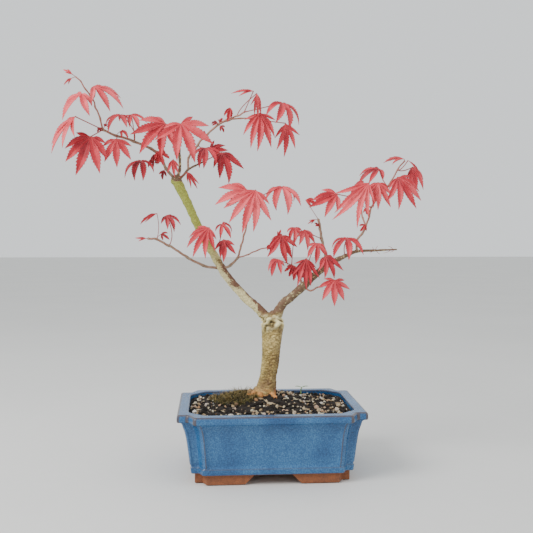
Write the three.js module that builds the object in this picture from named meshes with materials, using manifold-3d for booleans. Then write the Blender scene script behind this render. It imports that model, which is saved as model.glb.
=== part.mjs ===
// A red-leaved Japanese maple bonsai growing in a glazed pot with indented corners.
// Millimetres, +Z up. +X runs along the long side of the pot and -Y faces its front.
import * as THREE from 'three';
import { mergeVertices } from 'three/addons/utils/BufferGeometryUtils.js';
import Module from 'manifold-3d';

const wasm = await Module();
wasm.setup();

// Clearance between two pieces that touch.
const gap = 0.3;

// Pot: outside sizes at the rim, then its walls, indented corners, feet and drain holes.
const rimLength = 200;
const rimDepth = 150;
const potHeight = 73;
const rimWidth = 12;
const lipHeight = 7.5;
const lipStep = 3;
const flareLength = 16;
const flareDepth = 10;
const curlShare = 0.45;
const wall = 8;
const floorThickness = 8;
const bandHeight = 7;
const bandStep = 1.2;
const notchLength = 18;
const notchDepth = 14;
const notchSlant = 6.5;
const notchBaseShare = 0.68;
const footHeight = 10.5;
const footWidth = 15;
const footInset = 2.5;
const frontArch = 60;
const sideArch = 44;
const archSlope = 11;
const drainDiameter = 16;
const drainSpacing = 90;

// Plastic mesh laid over each drain hole.
const meshSide = 28;
const meshThickness = 1;
const meshCells = 3;
const meshBar = 1.6;

// Soil and moss.
const soilDrop = 5;
const soilMound = 11;
const moundReach = 45;
const mossLength = 62;
const mossDepth = 56;
const mossThickness = 7;
const mossShift = [-28, 0];
const mossSink = 6;

// Tree: where the trunk stands, its height from the rim to the fork, and its thickness.
const trunkPlace = [-5, 18];
const trunkHeight = 94;
const trunkDiameter = 20;
const forkLean = [9, -6];
const limbDiameter = 9.6;
const crownScale = 1;
const shootDiameter = 3;
const nodeDiameter = 2.6;
const petioleDiameter = 1.3;
const leafLobe = 40;
const bladeThickness = 1.1;

// Seedling beside the trunk, with its pair of oval seed leaves.
const seedlingPlace = [42, 48];
const seedlingHeight = 11;
const seedlingStem = 1.4;
const seedLeafLength = 7.8;
const seedLeafBreadth = 3.2;
const seedLeafThickness = 0.9;
const seedLeafRise = 24;

const rad = THREE.MathUtils.degToRad;
const vec = (p) => new THREE.Vector3(...p);

const material = (color, roughness, metalness = 0) =>
  new THREE.MeshStandardMaterial({ color, roughness, metalness });
const looks = {
  pot: material(0x4f82b5, 0.3),
  mesh: material(0x20231f, 0.6),
  soil: material(0x2c231b, 0.95),
  moss: material(0x5a5f2b, 0.95),
  bark: material(0xa58f5e, 0.85),
  shoot: material(0x7d6a56, 0.75),
  leaf: material(0xc8485a, 0.55),
  seedling: material(0x6f9a4a, 0.6),
};

// ---------- solids ----------

// A closed three.js geometry as a manifold solid.
function solidOf(geometry) {
  const bare = geometry.clone();
  bare.deleteAttribute('normal');
  bare.deleteAttribute('uv');
  const merged = mergeVertices(bare, 1e-4);
  return new wasm.Manifold(new wasm.Mesh({
    numProp: 3,
    vertProperties: new Float32Array(merged.attributes.position.array),
    triVerts: new Uint32Array(merged.index.array),
  }));
}

function meshOf(name, solid, look) {
  const { vertProperties, triVerts } = solid.getMesh();
  const geometry = new THREE.BufferGeometry();
  geometry.setAttribute('position', new THREE.BufferAttribute(new Float32Array(vertProperties), 3));
  geometry.setIndex(new THREE.BufferAttribute(new Uint32Array(triVerts), 1));
  geometry.computeVertexNormals();
  const mesh = new THREE.Mesh(geometry, look);
  mesh.name = name;
  return mesh;
}

function geometryOf(points, triangles) {
  const geometry = new THREE.BufferGeometry();
  const values = points.flatMap((p) => p.toArray());
  geometry.setAttribute('position', new THREE.Float32BufferAttribute(values, 3));
  geometry.setIndex(triangles);
  return geometry;
}

// Rings of equally many points, first to last, closed at each end by a fan to a tip point.
// A ring runs anticlockwise as seen from the last ring.
function loft(rings, firstTip, lastTip) {
  const count = rings[0].length;
  const points = [...rings.flat(), firstTip, lastTip];
  const firstIndex = points.length - 2;
  const lastIndex = points.length - 1;
  const lastRing = (rings.length - 1) * count;
  const triangles = [];
  for (let i = 0; i < count; i += 1) {
    const next = (i + 1) % count;
    for (let ring = 0; ring < rings.length - 1; ring += 1) {
      const low = ring * count;
      const high = low + count;
      triangles.push(low + i, low + next, high + next, low + i, high + next, high + i);
    }
    triangles.push(firstIndex, next, i, lastIndex, lastRing + i, lastRing + next);
  }
  return solidOf(geometryOf(points, triangles));
}

// A flat outline raised from one height to another.
function prism(outline, low, high) {
  const shape = new THREE.Shape(outline.map(([x, y]) => new THREE.Vector2(x, y)));
  const geometry = new THREE.ExtrudeGeometry(shape, { depth: high - low, bevelEnabled: false });
  geometry.translate(0, 0, low);
  return solidOf(geometry);
}

// A thin round stalk of one thickness along a curve.
function stalk(curve, diameter, sides, steps) {
  const round = new THREE.EllipseCurve(0, 0, diameter / 2, diameter / 2);
  const shape = new THREE.Shape(round.getPoints(sides).slice(0, -1));
  return solidOf(new THREE.ExtrudeGeometry(shape, { steps, bevelEnabled: false, extrudePath: curve }));
}

// Wood that tapers along a smooth curve through its points, with rounded ends.
function wood(points, radii, sides, stepsPerSpan = 2) {
  const curve = new THREE.CatmullRomCurve3(points, false, 'centripetal');
  const spans = points.length - 1;
  const steps = spans * stepsPerSpan;
  const side = new THREE.Vector3(0, 1, 0).cross(curve.getTangent(0));
  if (side.length() < 0.1) side.set(1, 0, 0);
  const rings = [];
  for (let step = 0; step <= steps; step += 1) {
    const along = curve.getTangent(step / steps);
    side.addScaledVector(along, -side.dot(along)).normalize();
    const across = along.clone().cross(side);
    const share = step / stepsPerSpan;
    const before = Math.min(Math.floor(share), spans - 1);
    const radius = THREE.MathUtils.lerp(radii[before], radii[before + 1], share - before);
    const centre = curve.getPoint(step / steps);
    rings.push(Array.from({ length: sides }, (_, i) => {
      const turn = (2 * Math.PI * i) / sides;
      return centre.clone()
        .addScaledVector(side, radius * Math.cos(turn))
        .addScaledVector(across, radius * Math.sin(turn));
    }));
  }
  const start = points[0].clone().addScaledVector(curve.getTangent(0), -0.2 * radii[0]);
  const end = points[spans].clone().addScaledVector(curve.getTangent(1), 0.4 * radii[spans]);
  return loft(rings, start, end);
}

// A rounded knuckle at the end of a piece of wood.
function knuckle(centre, radius, detail) {
  const ball = new THREE.IcosahedronGeometry(radius, detail);
  ball.translate(centre.x, centre.y, centre.z);
  return solidOf(ball);
}

// Radii that run evenly from the first to the last of a number of points.
const taper = (first, last, count) =>
  Array.from({ length: count }, (_, i) => THREE.MathUtils.lerp(first, last, i / (count - 1)));

// ---------- pot ----------

// A rectangle whose four corners are stepped in, anticlockwise from the front right. The steps are
// a share of their size at the rim.
function notchedOutline(halfLength, halfDepth, share) {
  const [notchX, notchY, slant] = [notchLength, notchDepth, notchSlant].map((size) => size * share);
  const quarter = [
    [halfLength - notchX, -halfDepth],
    [halfLength - notchX + slant, notchY - halfDepth],
    [halfLength, notchY - halfDepth],
  ];
  const right = [...quarter, ...quarter.map(([x, y]) => [x, -y]).reverse()];
  return [...right, ...right.map(([x, y]) => [-x, -y])];
}

// A rectangle with its corners cut off, for the inside of the pot.
function bevelledOutline(halfLength, halfDepth, cut) {
  const right = [
    [halfLength - cut, -halfDepth],
    [halfLength, cut - halfDepth],
    [halfLength, halfDepth - cut],
    [halfLength - cut, halfDepth],
  ];
  return [...right, ...right.map(([x, y]) => [-x, -y])];
}

const ringAt = (outline, z) => outline.map(([x, y]) => new THREE.Vector3(x, y, z));

// Share of the flare left behind at a height: part of it curls in just below the lip, and the rest
// tapers evenly down to the base.
const lipBottom = potHeight - lipHeight;
function flareShare(z) {
  const down = THREE.MathUtils.clamp((lipBottom - z) / (lipBottom - footHeight), 0, 1);
  return curlShare * (1 - (1 - down) ** 8) + (1 - curlShare) * down;
}

const notchShare = (z) => 1 - (1 - notchBaseShare) * flareShare(z);

// Half sizes of the outside at a height below the lip, and of the inside at any height.
function outsideHalf(z, proud = 0) {
  const share = flareShare(z);
  return [
    rimLength / 2 - lipStep - (flareLength - lipStep) * share + proud,
    rimDepth / 2 - lipStep - (flareDepth - lipStep) * share + proud,
  ];
}
function insideHalf(z) {
  const [length, depth] = outsideHalf(z);
  return [
    Math.min(length - wall, rimLength / 2 - rimWidth),
    Math.min(depth - wall, rimDepth / 2 - rimWidth),
  ];
}

const floorTop = footHeight + floorThickness;
const insideBevel = notchDepth + 3;
const insideHeights = [0.2, 0.5, 0.75, 0.9, 1].map((share) =>
  floorTop + share * (lipBottom - floorTop));

function insideRing(z, inset = 0) {
  const [length, depth] = insideHalf(z);
  return ringAt(bevelledOutline(length - inset, depth - inset, insideBevel), z);
}

function potOutside() {
  const bandTop = footHeight + bandHeight;
  const wallLevels = [0.02, 0.3, 0.6, 0.74, 0.84, 0.91, 0.96].map((share) =>
    [bandTop + share * (lipBottom - bandTop), 0]);
  const bandLevels = [[footHeight, bandStep - 1], [footHeight + 1, bandStep], [bandTop, bandStep]];
  const levels = [...bandLevels, ...wallLevels];
  const rings = levels.map(([z, proud]) =>
    ringAt(notchedOutline(...outsideHalf(z, proud), notchShare(z)), z));
  const lip = [[lipBottom, 0.8], [lipBottom + 1, 0], [potHeight - 1, 0], [potHeight, 1]];
  for (const [z, inset] of lip) {
    rings.push(ringAt(notchedOutline(rimLength / 2 - inset, rimDepth / 2 - inset, 1), z));
  }
  return loft(rings, new THREE.Vector3(0, 0, footHeight), new THREE.Vector3(0, 0, potHeight));
}

function potInside() {
  const rings = [floorTop, ...insideHeights, potHeight + 5].map((z) => insideRing(z));
  return loft(rings, new THREE.Vector3(0, 0, floorTop), new THREE.Vector3(0, 0, potHeight + 5));
}

// A bar with sloping ends that is cut from the foot ring to leave an arch between two feet.
function archCut(width, reach) {
  const bottom = -1;
  const outline = [
    [-width / 2, bottom],
    [width / 2, bottom],
    [width / 2 - archSlope, footHeight],
    [archSlope - width / 2, footHeight],
  ];
  return prism(outline, -reach, reach).rotate([90, 0, 0]);
}

function feet() {
  const [length, depth] = outsideHalf(footHeight);
  const outline = (inset) => notchedOutline(length - inset, depth - inset, notchBaseShare);
  const ring = prism(outline(footInset), 0, footHeight + 0.5)
    .subtract(prism(outline(footInset + footWidth), -1, footHeight));
  return ring
    .subtract(archCut(frontArch, rimDepth))
    .subtract(archCut(sideArch, rimLength).rotate([0, 0, 90]));
}

const drainPlaces = [-drainSpacing / 2, drainSpacing / 2];

function buildPot() {
  let pot = potOutside().subtract(potInside()).add(feet());
  for (const x of drainPlaces) {
    const hole = new THREE.CylinderGeometry(drainDiameter / 2, drainDiameter / 2, potHeight, 20);
    hole.rotateX(Math.PI / 2);
    hole.translate(x, 0, 0);
    pot = pot.subtract(solidOf(hole));
  }
  return pot;
}

// A square of plastic mesh lying on the pot floor over a drain hole.
function drainMesh(x) {
  const pitch = (meshSide - meshBar) / meshCells;
  let net = solidOf(new THREE.BoxGeometry(meshSide, meshSide, meshThickness));
  for (let row = 0; row < meshCells; row += 1) {
    for (let column = 0; column < meshCells; column += 1) {
      const opening = new THREE.BoxGeometry(pitch - meshBar, pitch - meshBar, 2 * meshThickness);
      const middleCell = (meshCells - 1) / 2;
      opening.translate((row - middleCell) * pitch, (column - middleCell) * pitch, 0);
      net = net.subtract(solidOf(opening));
    }
  }
  return net.translate([x, 0, floorTop + gap + meshThickness / 2]);
}

// ---------- soil, moss and seedling ----------

// Height of the soil: level near the rim, mounded round the trunk.
function soilTop(x, y) {
  const away = Math.hypot(x - trunkPlace[0], y - trunkPlace[1]) / moundReach;
  return potHeight - soilDrop + soilMound * Math.exp(-(away ** 2));
}

// Each side of a ring cut into equal parts.
function divided(ring, parts) {
  return ring.flatMap((point, i) => {
    const next = ring[(i + 1) % ring.length];
    return Array.from({ length: parts }, (_, part) => point.clone().lerp(next, part / parts));
  });
}

function buildSoil() {
  const low = floorTop + meshThickness + 2 * gap;
  const high = potHeight - soilDrop;
  const sideHeights = [low, ...insideHeights.filter((z) => z > low && z < high), high];
  const rings = sideHeights.map((z) => divided(insideRing(z, gap), 3));
  const edge = rings[rings.length - 1];
  const [centreX, centreY] = trunkPlace;
  for (const share of [0.85, 0.65, 0.45, 0.25]) {
    rings.push(edge.map((point) => {
      const x = THREE.MathUtils.lerp(centreX, point.x, share);
      const y = THREE.MathUtils.lerp(centreY, point.y, share);
      return new THREE.Vector3(x, y, soilTop(x, y));
    }));
  }
  const top = new THREE.Vector3(centreX, centreY, soilTop(centreX, centreY));
  return loft(rings, new THREE.Vector3(0, 0, low), top);
}

// A low cushion beside the trunk with a wavy edge. Its underside is cut to the soil afterwards.
function buildMoss() {
  const centreX = trunkPlace[0] + mossShift[0];
  const centreY = trunkPlace[1] + mossShift[1];
  const count = 18;
  const shapeAt = (share, z) => Array.from({ length: count }, (_, i) => {
    const turn = (2 * Math.PI * i) / count;
    const wave = 1 + 0.12 * Math.sin(3 * turn) + 0.07 * Math.cos(5 * turn);
    const x = centreX + (mossLength / 2) * share * wave * Math.cos(turn);
    const y = centreY + (mossDepth / 2) * share * wave * Math.sin(turn);
    return new THREE.Vector3(x, y, z(x, y));
  });
  const below = (x, y) => soilTop(x, y) - mossSink;
  const swell = (share) => (x, y) => soilTop(x, y) + gap + mossThickness * (1 - share ** 2) ** 0.7;
  const rings = [shapeAt(0.9, below), ...[1, 0.92, 0.7, 0.4].map((share) => shapeAt(share, swell(share)))];
  const bottom = new THREE.Vector3(centreX, centreY, below(centreX, centreY));
  return loft(rings, bottom, new THREE.Vector3(centreX, centreY, swell(0)(centreX, centreY)));
}

function buildSeedling() {
  const [x, y] = seedlingPlace;
  const foot = new THREE.Vector3(x, y, soilTop(x, y) - seedlingStem);
  const crown = new THREE.Vector3(x + 0.5, y, soilTop(x, y) + seedlingHeight - seedlingStem);
  const curve = new THREE.QuadraticBezierCurve3(foot, foot.clone().lerp(crown, 0.5).setX(x - 0.4), crown);
  let seedling = stalk(curve, seedlingStem, 6, 4);
  for (const turn of [0, Math.PI]) {
    const leaf = new THREE.SphereGeometry(0.5, 8, 5);
    leaf.scale(seedLeafLength, seedLeafBreadth, seedLeafThickness);
    leaf.translate(seedLeafLength / 2 - seedlingStem / 3, 0, 0);
    leaf.rotateY(-rad(seedLeafRise));
    leaf.rotateZ(turn);
    leaf.translate(crown.x, crown.y, crown.z - seedlingStem / 4);
    seedling = seedling.add(solidOf(leaf));
  }
  return seedling;
}

// ---------- tree ----------

// The trunk rises from its foot at the level of the rim and leans a little before it forks.
const trunkFoot = vec([...trunkPlace, potHeight]);
const fork = vec([...forkLean, trunkHeight]).add(trunkFoot);

// Points stepped off from a start, each step measured from that start.
const pathFrom = (start, steps) =>
  [start, ...steps.map((step) => vec(step).multiplyScalar(crownScale).add(start))];

// The two limbs leave the fork. Every point is measured from the fork.
const leftLimb = pathFrom(fork.clone().add(vec([-3, 0, -4])), [
  [-13, 2, 14], [-25, 5, 24], [-43, 8, 44], [-53, 9, 58], [-64, 8, 78],
  [-74, 5, 94], [-84, 0, 116], [-94, -5, 138], [-103, -9, 156],
]);
const rightLimb = pathFrom(fork.clone().add(vec([3, 0, -2])), [
  [9, -2, 16], [18, -5, 24], [31, -10, 36], [41, -15, 47], [54, -20, 58],
  [66, -25, 66], [76, -29, 71], [88, -32, 76], [106, -36, 77], [130, -39, 78],
]);
const asLimbRadius = (share) => (share * limbDiameter) / 2;
const leftRadii = [1.2, 1.12, 1.06, 1.02, 1, 0.96, 0.93, 0.93, 1.02, 1.25].map(asLimbRadius);
const rightRadii = [1.2, 1.04, 0.98, 0.96, 0.84, 0.74, 0.62, 0.46, 0.36, 0.27, 0.18].map(asLimbRadius);

// Twigs that grow straight out of the cut end of the left limb.
const stub = leftLimb[leftLimb.length - 1];
const uprightTwig = pathFrom(stub, [[4, -4, 12], [4, -10, 30], [4, -16, 40]]);
const backTwig = pathFrom(stub, [[7, 2, 5], [13, 10, 13], [22, 20, 19], [30, 29, 24]]);

// Shoots: what each grows from, which point of it, and the steps from that point. A side branch
// names the shoot that it forks from.
const shootPlan = {
  lowerLeft: {
    on: 'leftLimb', at: 4, girth: [1, 0.75],
    steps: [[-21, -6, 4], [-38, -14, 13], [-58, -24, 26], [-71, -30, 33], [-80, -33, 34]],
  },
  midLeft: {
    on: 'leftLimb', at: 4, girth: [1.1, 0.9],
    steps: [[10, -5, 4], [18, -14, 13]],
  },
  midLeftUp: {
    on: 'midLeft', at: 2, girth: [0.75, 0.5], joined: true,
    steps: [[3, -10, 13], [6, -20, 25], [12, -30, 47], [22, -37, 66]],
  },
  midLeftOut: {
    on: 'midLeft', at: 2, girth: [0.55, 0.4], joined: true,
    steps: [[12, 7, 3], [23, 15, 8], [38, 23, 12], [46, 29, 17]],
  },
  upperLeft: {
    on: 'leftLimb', at: 9, girth: [1.1, 0.8],
    steps: [[-11, 0, 13], [-15, -1, 22], [-26, -7, 33], [-44, -17, 40], [-62, -25, 45], [-75, -31, 50]],
  },
  upperLeftTip: {
    on: 'upperLeft', at: 6, girth: [0.65, 0.4], joined: true,
    steps: [[-2, -6, 11], [-6, -14, 22], [-8, -18, 29], [-14, -22, 38], [-19, -26, 45], [-23, -28, 49]],
  },
  upperRight: {
    on: 'backTwig', at: 2, girth: [0.8, 0.8],
    steps: [[0, 10, 14], [10, 20, 30], [20, 28, 42], [34, 36, 56]],
  },
  upperRightOut: {
    on: 'upperRight', at: 4, girth: [0.7, 0.55], joined: true,
    steps: [[13, 6, 6], [26, 10, 9], [37, 8, 8]],
  },
  upperRightIn: {
    on: 'upperRight', at: 4, girth: [0.7, 0.55], joined: true,
    steps: [[11, -8, 5], [21, -16, 7], [29, -20, 11]],
  },
  underRight: {
    on: 'rightLimb', at: 3, girth: [0.7, 0.5],
    steps: [[8, -5, -4], [15, -10, 0], [20, -13, 1]],
  },
  innerRight: {
    on: 'rightLimb', at: 3, girth: [0.9, 0.7],
    steps: [[-3, 7, 11], [-6, 11, 20], [-11, 14, 24]],
  },
  centre: {
    on: 'rightLimb', at: 5, girth: [1.2, 0.9],
    steps: [[3, 10, 13], [0, 22, 32], [-1, 30, 44], [-2, 34, 54]],
  },
  farRight: {
    on: 'rightLimb', at: 8, girth: [0.9, 0.75],
    steps: [[-1, -4, 11], [4, -6, 19], [8, -8, 27]],
  },
  farRightBack: {
    on: 'farRight', at: 3, girth: [0.65, 0.5], joined: true,
    steps: [[-1, 12, 10], [-2, 24, 23], [-3, 32, 32]],
  },
  farRightOut: {
    on: 'farRight', at: 3, girth: [0.7, 0.45], joined: true,
    steps: [[2, -8, 11], [3, -16, 20], [9, -24, 31], [17, -30, 41], [26, -34, 58], [33, -36, 67]],
  },
};

// Leaves: the shoot, the point of it, the step from there to the top of the petiole, which way the
// upper face looks, where the middle lobe points, its length as a share of leafLobe, how far the
// lobes fan out and how far they bend down in degrees, and how many there are.
const leafPlan = [
  ['upperLeftTip', 3, [2, -4, 12], [0.2, -0.5, 0.8], [1, -0.3, -0.3], 0.9, 130, 35, 5],
  ['upperLeftTip', 3, [-9, -10, 3], [-0.2, -0.6, 0.7], [-0.6, -0.3, -0.8], 0.78, 190, 65, 5],
  ['upperLeft', 6, [-26, -16, 11], [-0.5, -0.6, 0.6], [-0.8, -0.2, -0.6], 1.05, 90, 25, 5],
  ['upperLeft', 6, [-11, -12, -9], [0, -1, 0.35], [-0.3, -0.3, -1], 0.98, 180, 25, 7],
  ['upperLeft', 4, [-12, -12, 26], [0, -0.4, 1], [-0.6, -0.5, -0.3], 0.62, 240, 70, 5],
  ['upperLeft', 5, [2, -12, -5], [0, -1, 0.4], [0, -0.3, -1], 0.74, 130, 25, 5],
  ['upperLeft', 4, [-5, 20, 32], [0, -0.5, 0.9], [0.5, -0.4, -0.7], 0.55, 160, 60, 5],
  ['uprightTwig', 3, [-14, -11, 18], [0.1, -1, 0.5], [-0.7, -0.3, -0.75], 1, 190, 25, 7],
  ['uprightTwig', 3, [3, -30, 15], [0.1, -1, 0.5], [0.4, -0.3, -0.9], 1.05, 220, 25, 7],
  ['upperLeft', 2, [-22, -10, -2], [-0.1, -0.45, 1], [-0.5, -0.7, -0.3], 0.68, 280, 75, 7],
  ['uprightTwig', 1, [-6, -24, 8], [0, -1, 0.3], [0, -0.3, -1], 0.45, 80, 15, 5],
  ['leftLimb', 9, [12, -15, 8], [0.3, -1, 0.3], [0.65, -0.3, -0.75], 0.52, 60, 20, 5],
  ['backTwig', 4, [2, -12, 14], [0, -0.6, 0.9], [0.1, -0.6, -0.8], 0.68, 200, 55, 7],
  ['upperRight', 2, [13, 12, -3], [0, -1, 0.2], [1, -0.2, 0], 0.55, 110, 10, 5],
  ['backTwig', 4, [20, -4, 10], [0.3, -0.9, 0.5], [0.45, -0.3, -0.9], 0.88, 120, 30, 5],
  ['upperRightIn', 3, [10, -10, 22], [0, -0.5, 0.8], [-1, 0, 0], 0.6, 50, 20, 3],
  ['upperRightIn', 2, [23, 4, 27], [0.3, -1, 0.2], [0.05, -0.2, -1], 0.7, 50, 15, 5],
  ['upperRightOut', 3, [11, -18, 4], [0, -1, 0.35], [0, -0.3, -1], 1.08, 125, 20, 7],
  ['upperRightIn', 3, [43, -4, 10], [0.3, -0.5, 0.9], [0.45, -0.4, -0.8], 0.85, 270, 65, 7],
  ['upperRightOut', 3, [42, -2, -5], [0, -1, 0.3], [0.1, -0.3, -1], 0.92, 75, 15, 5],
  ['lowerLeft', 3, [-2, -12, 33], [0.1, -0.6, 0.8], [0.5, -0.2, -0.8], 0.52, 130, 50, 5],
  ['leftLimb', 6, [7, -25, 10], [-0.2, -0.9, 0.5], [-0.65, -0.3, -0.8], 0.88, 130, 35, 7],
  ['leftLimb', 5, [11, -18, 30], [0, -0.6, 0.8], [0.6, -0.4, -0.6], 0.48, 200, 60, 5],
  ['leftLimb', 5, [13, -26, 13], [0, -1, 0.3], [0.1, -0.3, -1], 0.6, 110, 20, 5],
  ['midLeftUp', 3, [-4, -17, 25], [0, -1, 0.4], [-1, -0.2, -0.25], 0.85, 110, 20, 5],
  ['midLeftUp', 4, [-6, -22, 5], [-0.1, -1, 0.4], [-0.35, -0.3, -0.95], 1.15, 130, 25, 7],
  ['midLeftUp', 4, [25, 12, 11], [0.1, -0.5, 1], [0.2, -0.6, -0.7], 0.82, 240, 75, 7],
  ['midLeftOut', 4, [4, -14, 8], [0, -1, 0.4], [0, -0.4, -1], 0.78, 150, 30, 7],
  ['innerRight', 3, [5, 15, 43], [0, -0.7, 0.7], [0, -0.4, -0.8], 0.5, 160, 50, 5],
  ['innerRight', 3, [-17, -11, 7], [-0.2, -0.7, 0.7], [-0.4, -0.3, -0.9], 0.5, 150, 50, 5],
  ['centre', 2, [-21, -10, 10], [0.2, -0.8, 0.6], [0.2, -0.3, -1], 0.58, 110, 30, 5],
  ['innerRight', 2, [8, -28, 12], [0, -1, 0.3], [-0.15, -0.4, -1], 0.82, 110, 15, 7],
  ['rightLimb', 4, [3, -19, 38], [0, -1, 0.5], [-0.1, -0.4, -0.9], 0.54, 150, 40, 5],
  ['rightLimb', 5, [-3, -26, 13], [0.1, -0.8, 0.6], [0.4, -0.3, -0.8], 0.64, 150, 40, 7],
  ['rightLimb', 7, [-2, -17, 19], [0, -0.45, 1], [0, -0.8, -0.4], 0.7, 290, 70, 7],
  ['underRight', 3, [12, -12, 8], [0, -1, 0.5], [-0.1, -0.4, -0.9], 0.66, 190, 25, 7],
  ['farRightBack', 3, [-25, -12, 4], [0, -0.9, 0.5], [-0.85, -0.2, -0.45], 0.85, 120, 15, 5],
  ['farRightBack', 3, [7, 2, 20], [-0.3, -0.6, 0.7], [-0.85, -0.3, -0.35], 0.56, 90, 50, 5],
  ['farRightOut', 2, [-8, -24, 24], [-0.2, -1, 0.4], [-0.65, -0.2, -0.75], 1.2, 90, 15, 7],
  ['farRightOut', 3, [-3, -9, 14], [0, -1, 0.5], [0, -0.3, -1], 0.72, 140, 25, 7],
  ['farRightOut', 4, [-6, 16, 20], [-0.1, -0.5, 0.9], [-0.8, -0.2, -0.3], 0.68, 160, 45, 5],
  ['farRightOut', 4, [5, -22, 8], [0.1, -1, 0.4], [0.45, -0.3, -0.85], 0.9, 140, 20, 7],
  ['farRightOut', 5, [9, -8, 9], [0.5, -0.3, 0.8], [0.75, -0.2, -0.5], 0.52, 50, 30, 3],
  ['farRightOut', 5, [19, 10, 4], [0.2, -0.9, 0.4], [0.15, -0.3, -1], 0.72, 90, 25, 5],
];

// Leaves still folded at the tip of a shoot, which are one piece with it. Rows are as above.
const budPlan = [
  ['upperLeftTip', 6, [-3, -2, 2], [0, -1, 0.3], [-0.8, 0, 0.5], 0.28, 30, 10, 3],
  ['upperLeftTip', 6, [-4, 2, -1], [0, -1, 0.3], [-0.8, 0, -0.6], 0.26, 30, 40, 3],
  ['lowerLeft', 5, [-2, -1, 0], [0, -1, 0.3], [-1, 0, 0], 0.28, 30, 0, 3],
  ['lowerLeft', 4, [1, -8, 28], [0, -0.8, 0.6], [-0.8, 0, -0.5], 0.55, 24, 40, 3],
  ['lowerLeft', 4, [5, 3, 6], [0, -1, 0.4], [0.8, 0, -0.4], 0.25, 100, 20, 3],
  ['midLeftOut', 3, [-3, -4, 2], [0, -0.6, 0.8], [0.3, -0.3, -0.9], 0.24, 60, 60, 3],
  ['midLeftOut', 4, [2, 6, 10], [0, -1, 0.2], [0.5, 0, 0.8], 0.25, 50, 20, 3],
  ['centre', 4, [-16, -8, 22], [0, -1, 0.3], [0.9, 0, -0.4], 0.34, 60, 20, 3],
  ['centre', 4, [-4, -4, 0], [0, -1, 0.3], [-0.8, 0, -0.4], 0.24, 24, 10, 3],
  ['farRightBack', 2, [5, -5, -2], [0, -1, 0.3], [0.3, -0.3, -0.9], 0.2, 60, 60, 3],
  ['farRightOut', 6, [-1, -1, 2], [0, -0.5, 0.9], [-0.9, 0, 0.2], 0.5, 40, 20, 3],
];

// Length of each lobe as a share of the middle one, for leaves of three, five and seven lobes.
const lobeShares = {
  3: [0.7, 1, 0.7],
  5: [0.55, 0.85, 1, 0.85, 0.55],
  7: [0.42, 0.72, 0.92, 1, 0.92, 0.72, 0.42],
};

// A point of a lobe in the leaf's own frame, where X points along the middle lobe and Z out of the
// upper face. The lobe leaves the hub at an angle and bends down evenly along its length. The point
// lies a share along it, then aside from its vein and above its face.
function lobePoint(angle, length, bend, share, aside = 0, above = 0) {
  const turned = bend * share;
  const out = (length * Math.sin(turned)) / bend + above * Math.sin(turned);
  const down = (length * (1 - Math.cos(turned))) / bend - above * Math.cos(turned);
  return new THREE.Vector3(
    out * Math.cos(angle) - aside * Math.sin(angle),
    out * Math.sin(angle) + aside * Math.cos(angle),
    -down,
  );
}

// A palmate blade that is thickest on its veins and runs out to a sharp edge.
function blade(size, fan, droop, lobes) {
  const bend = Math.max(rad(droop), 0.01);
  const spacing = rad(fan) / (lobes - 1);
  const shares = lobeShares[lobes];
  const half = bladeThickness / 2;
  const outerNotch = Math.min((rad(fan) + spacing) / 2, rad(170));
  const notch = (i) => {
    const angle = THREE.MathUtils.clamp((i - lobes / 2) * spacing, -outerNotch, outerNotch);
    const shorter = Math.min(shares[Math.max(i - 1, 0)], shares[Math.min(i, lobes - 1)]);
    return lobePoint(angle, size * shorter, bend, 0.3);
  };
  const points = [vec([0, 0, half]), vec([0, 0, -half]), vec([-0.08 * size, 0, 0])];
  points.push(...Array.from({ length: lobes + 1 }, (_, i) => notch(i)));
  const [hubTop, hubLow, heel, firstNotch] = [0, 1, 2, 3];
  const lastNotch = firstNotch + lobes;
  const triangles = [];
  const facets = (a, b, top, low) => triangles.push(a, b, top, b, a, low);
  facets(lastNotch, heel, hubTop, hubLow);
  facets(heel, firstNotch, hubTop, hubLow);
  for (let i = 0; i < lobes; i += 1) {
    const angle = (i - (lobes - 1) / 2) * spacing;
    const length = size * shares[i];
    const room = 0.42 * spacing * lobePoint(0, length, bend, 0.5).x;
    const breadth = Math.min(0.15 * length, room);
    const right = points.length;
    points.push(
      lobePoint(angle, length, bend, 0.5, -breadth),
      lobePoint(angle, length, bend, 1),
      lobePoint(angle, length, bend, 0.5, breadth),
      lobePoint(angle, length, bend, 0.5, 0, 0.7 * half),
      lobePoint(angle, length, bend, 0.5, 0, -0.7 * half),
    );
    const [tip, left, veinTop, veinLow] = [right + 1, right + 2, right + 3, right + 4];
    const before = firstNotch + i;
    const after = before + 1;
    for (const [a, b] of [[before, right], [right, tip], [tip, left], [left, after]]) {
      facets(a, b, veinTop, veinLow);
    }
    triangles.push(hubTop, before, veinTop, hubTop, veinTop, after);
    triangles.push(before, hubLow, veinLow, veinLow, hubLow, after);
  }
  return solidOf(geometryOf(points, triangles));
}

// Turns a solid from the leaf's own frame into place.
function placed(solid, hub, face, aim) {
  const up = vec(face).normalize();
  const ahead = vec(aim);
  ahead.addScaledVector(up, -ahead.dot(up)).normalize();
  const aside = up.clone().cross(ahead);
  const matrix = new THREE.Matrix4().makeBasis(ahead, aside, up).setPosition(hub);
  return solid.transform(matrix.elements);
}

// Where a stalk leaves the wood that carries it: square to the wood, or any way from an end knuckle.
function seatOn(carrier, at, towards) {
  const { points, radii, knuckleRadius } = carrier;
  const station = points[at];
  const isEnd = at === points.length - 1;
  const out = towards.clone().sub(station);
  if (!isEnd) {
    const along = points[at + 1].clone().sub(points[at - 1]).normalize();
    out.addScaledVector(along, -out.dot(along));
  }
  out.normalize();
  const reach = (isEnd ? knuckleRadius : radii[at]) + 1.5 * gap;
  return { foot: station.clone().addScaledVector(out, reach), out };
}

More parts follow.
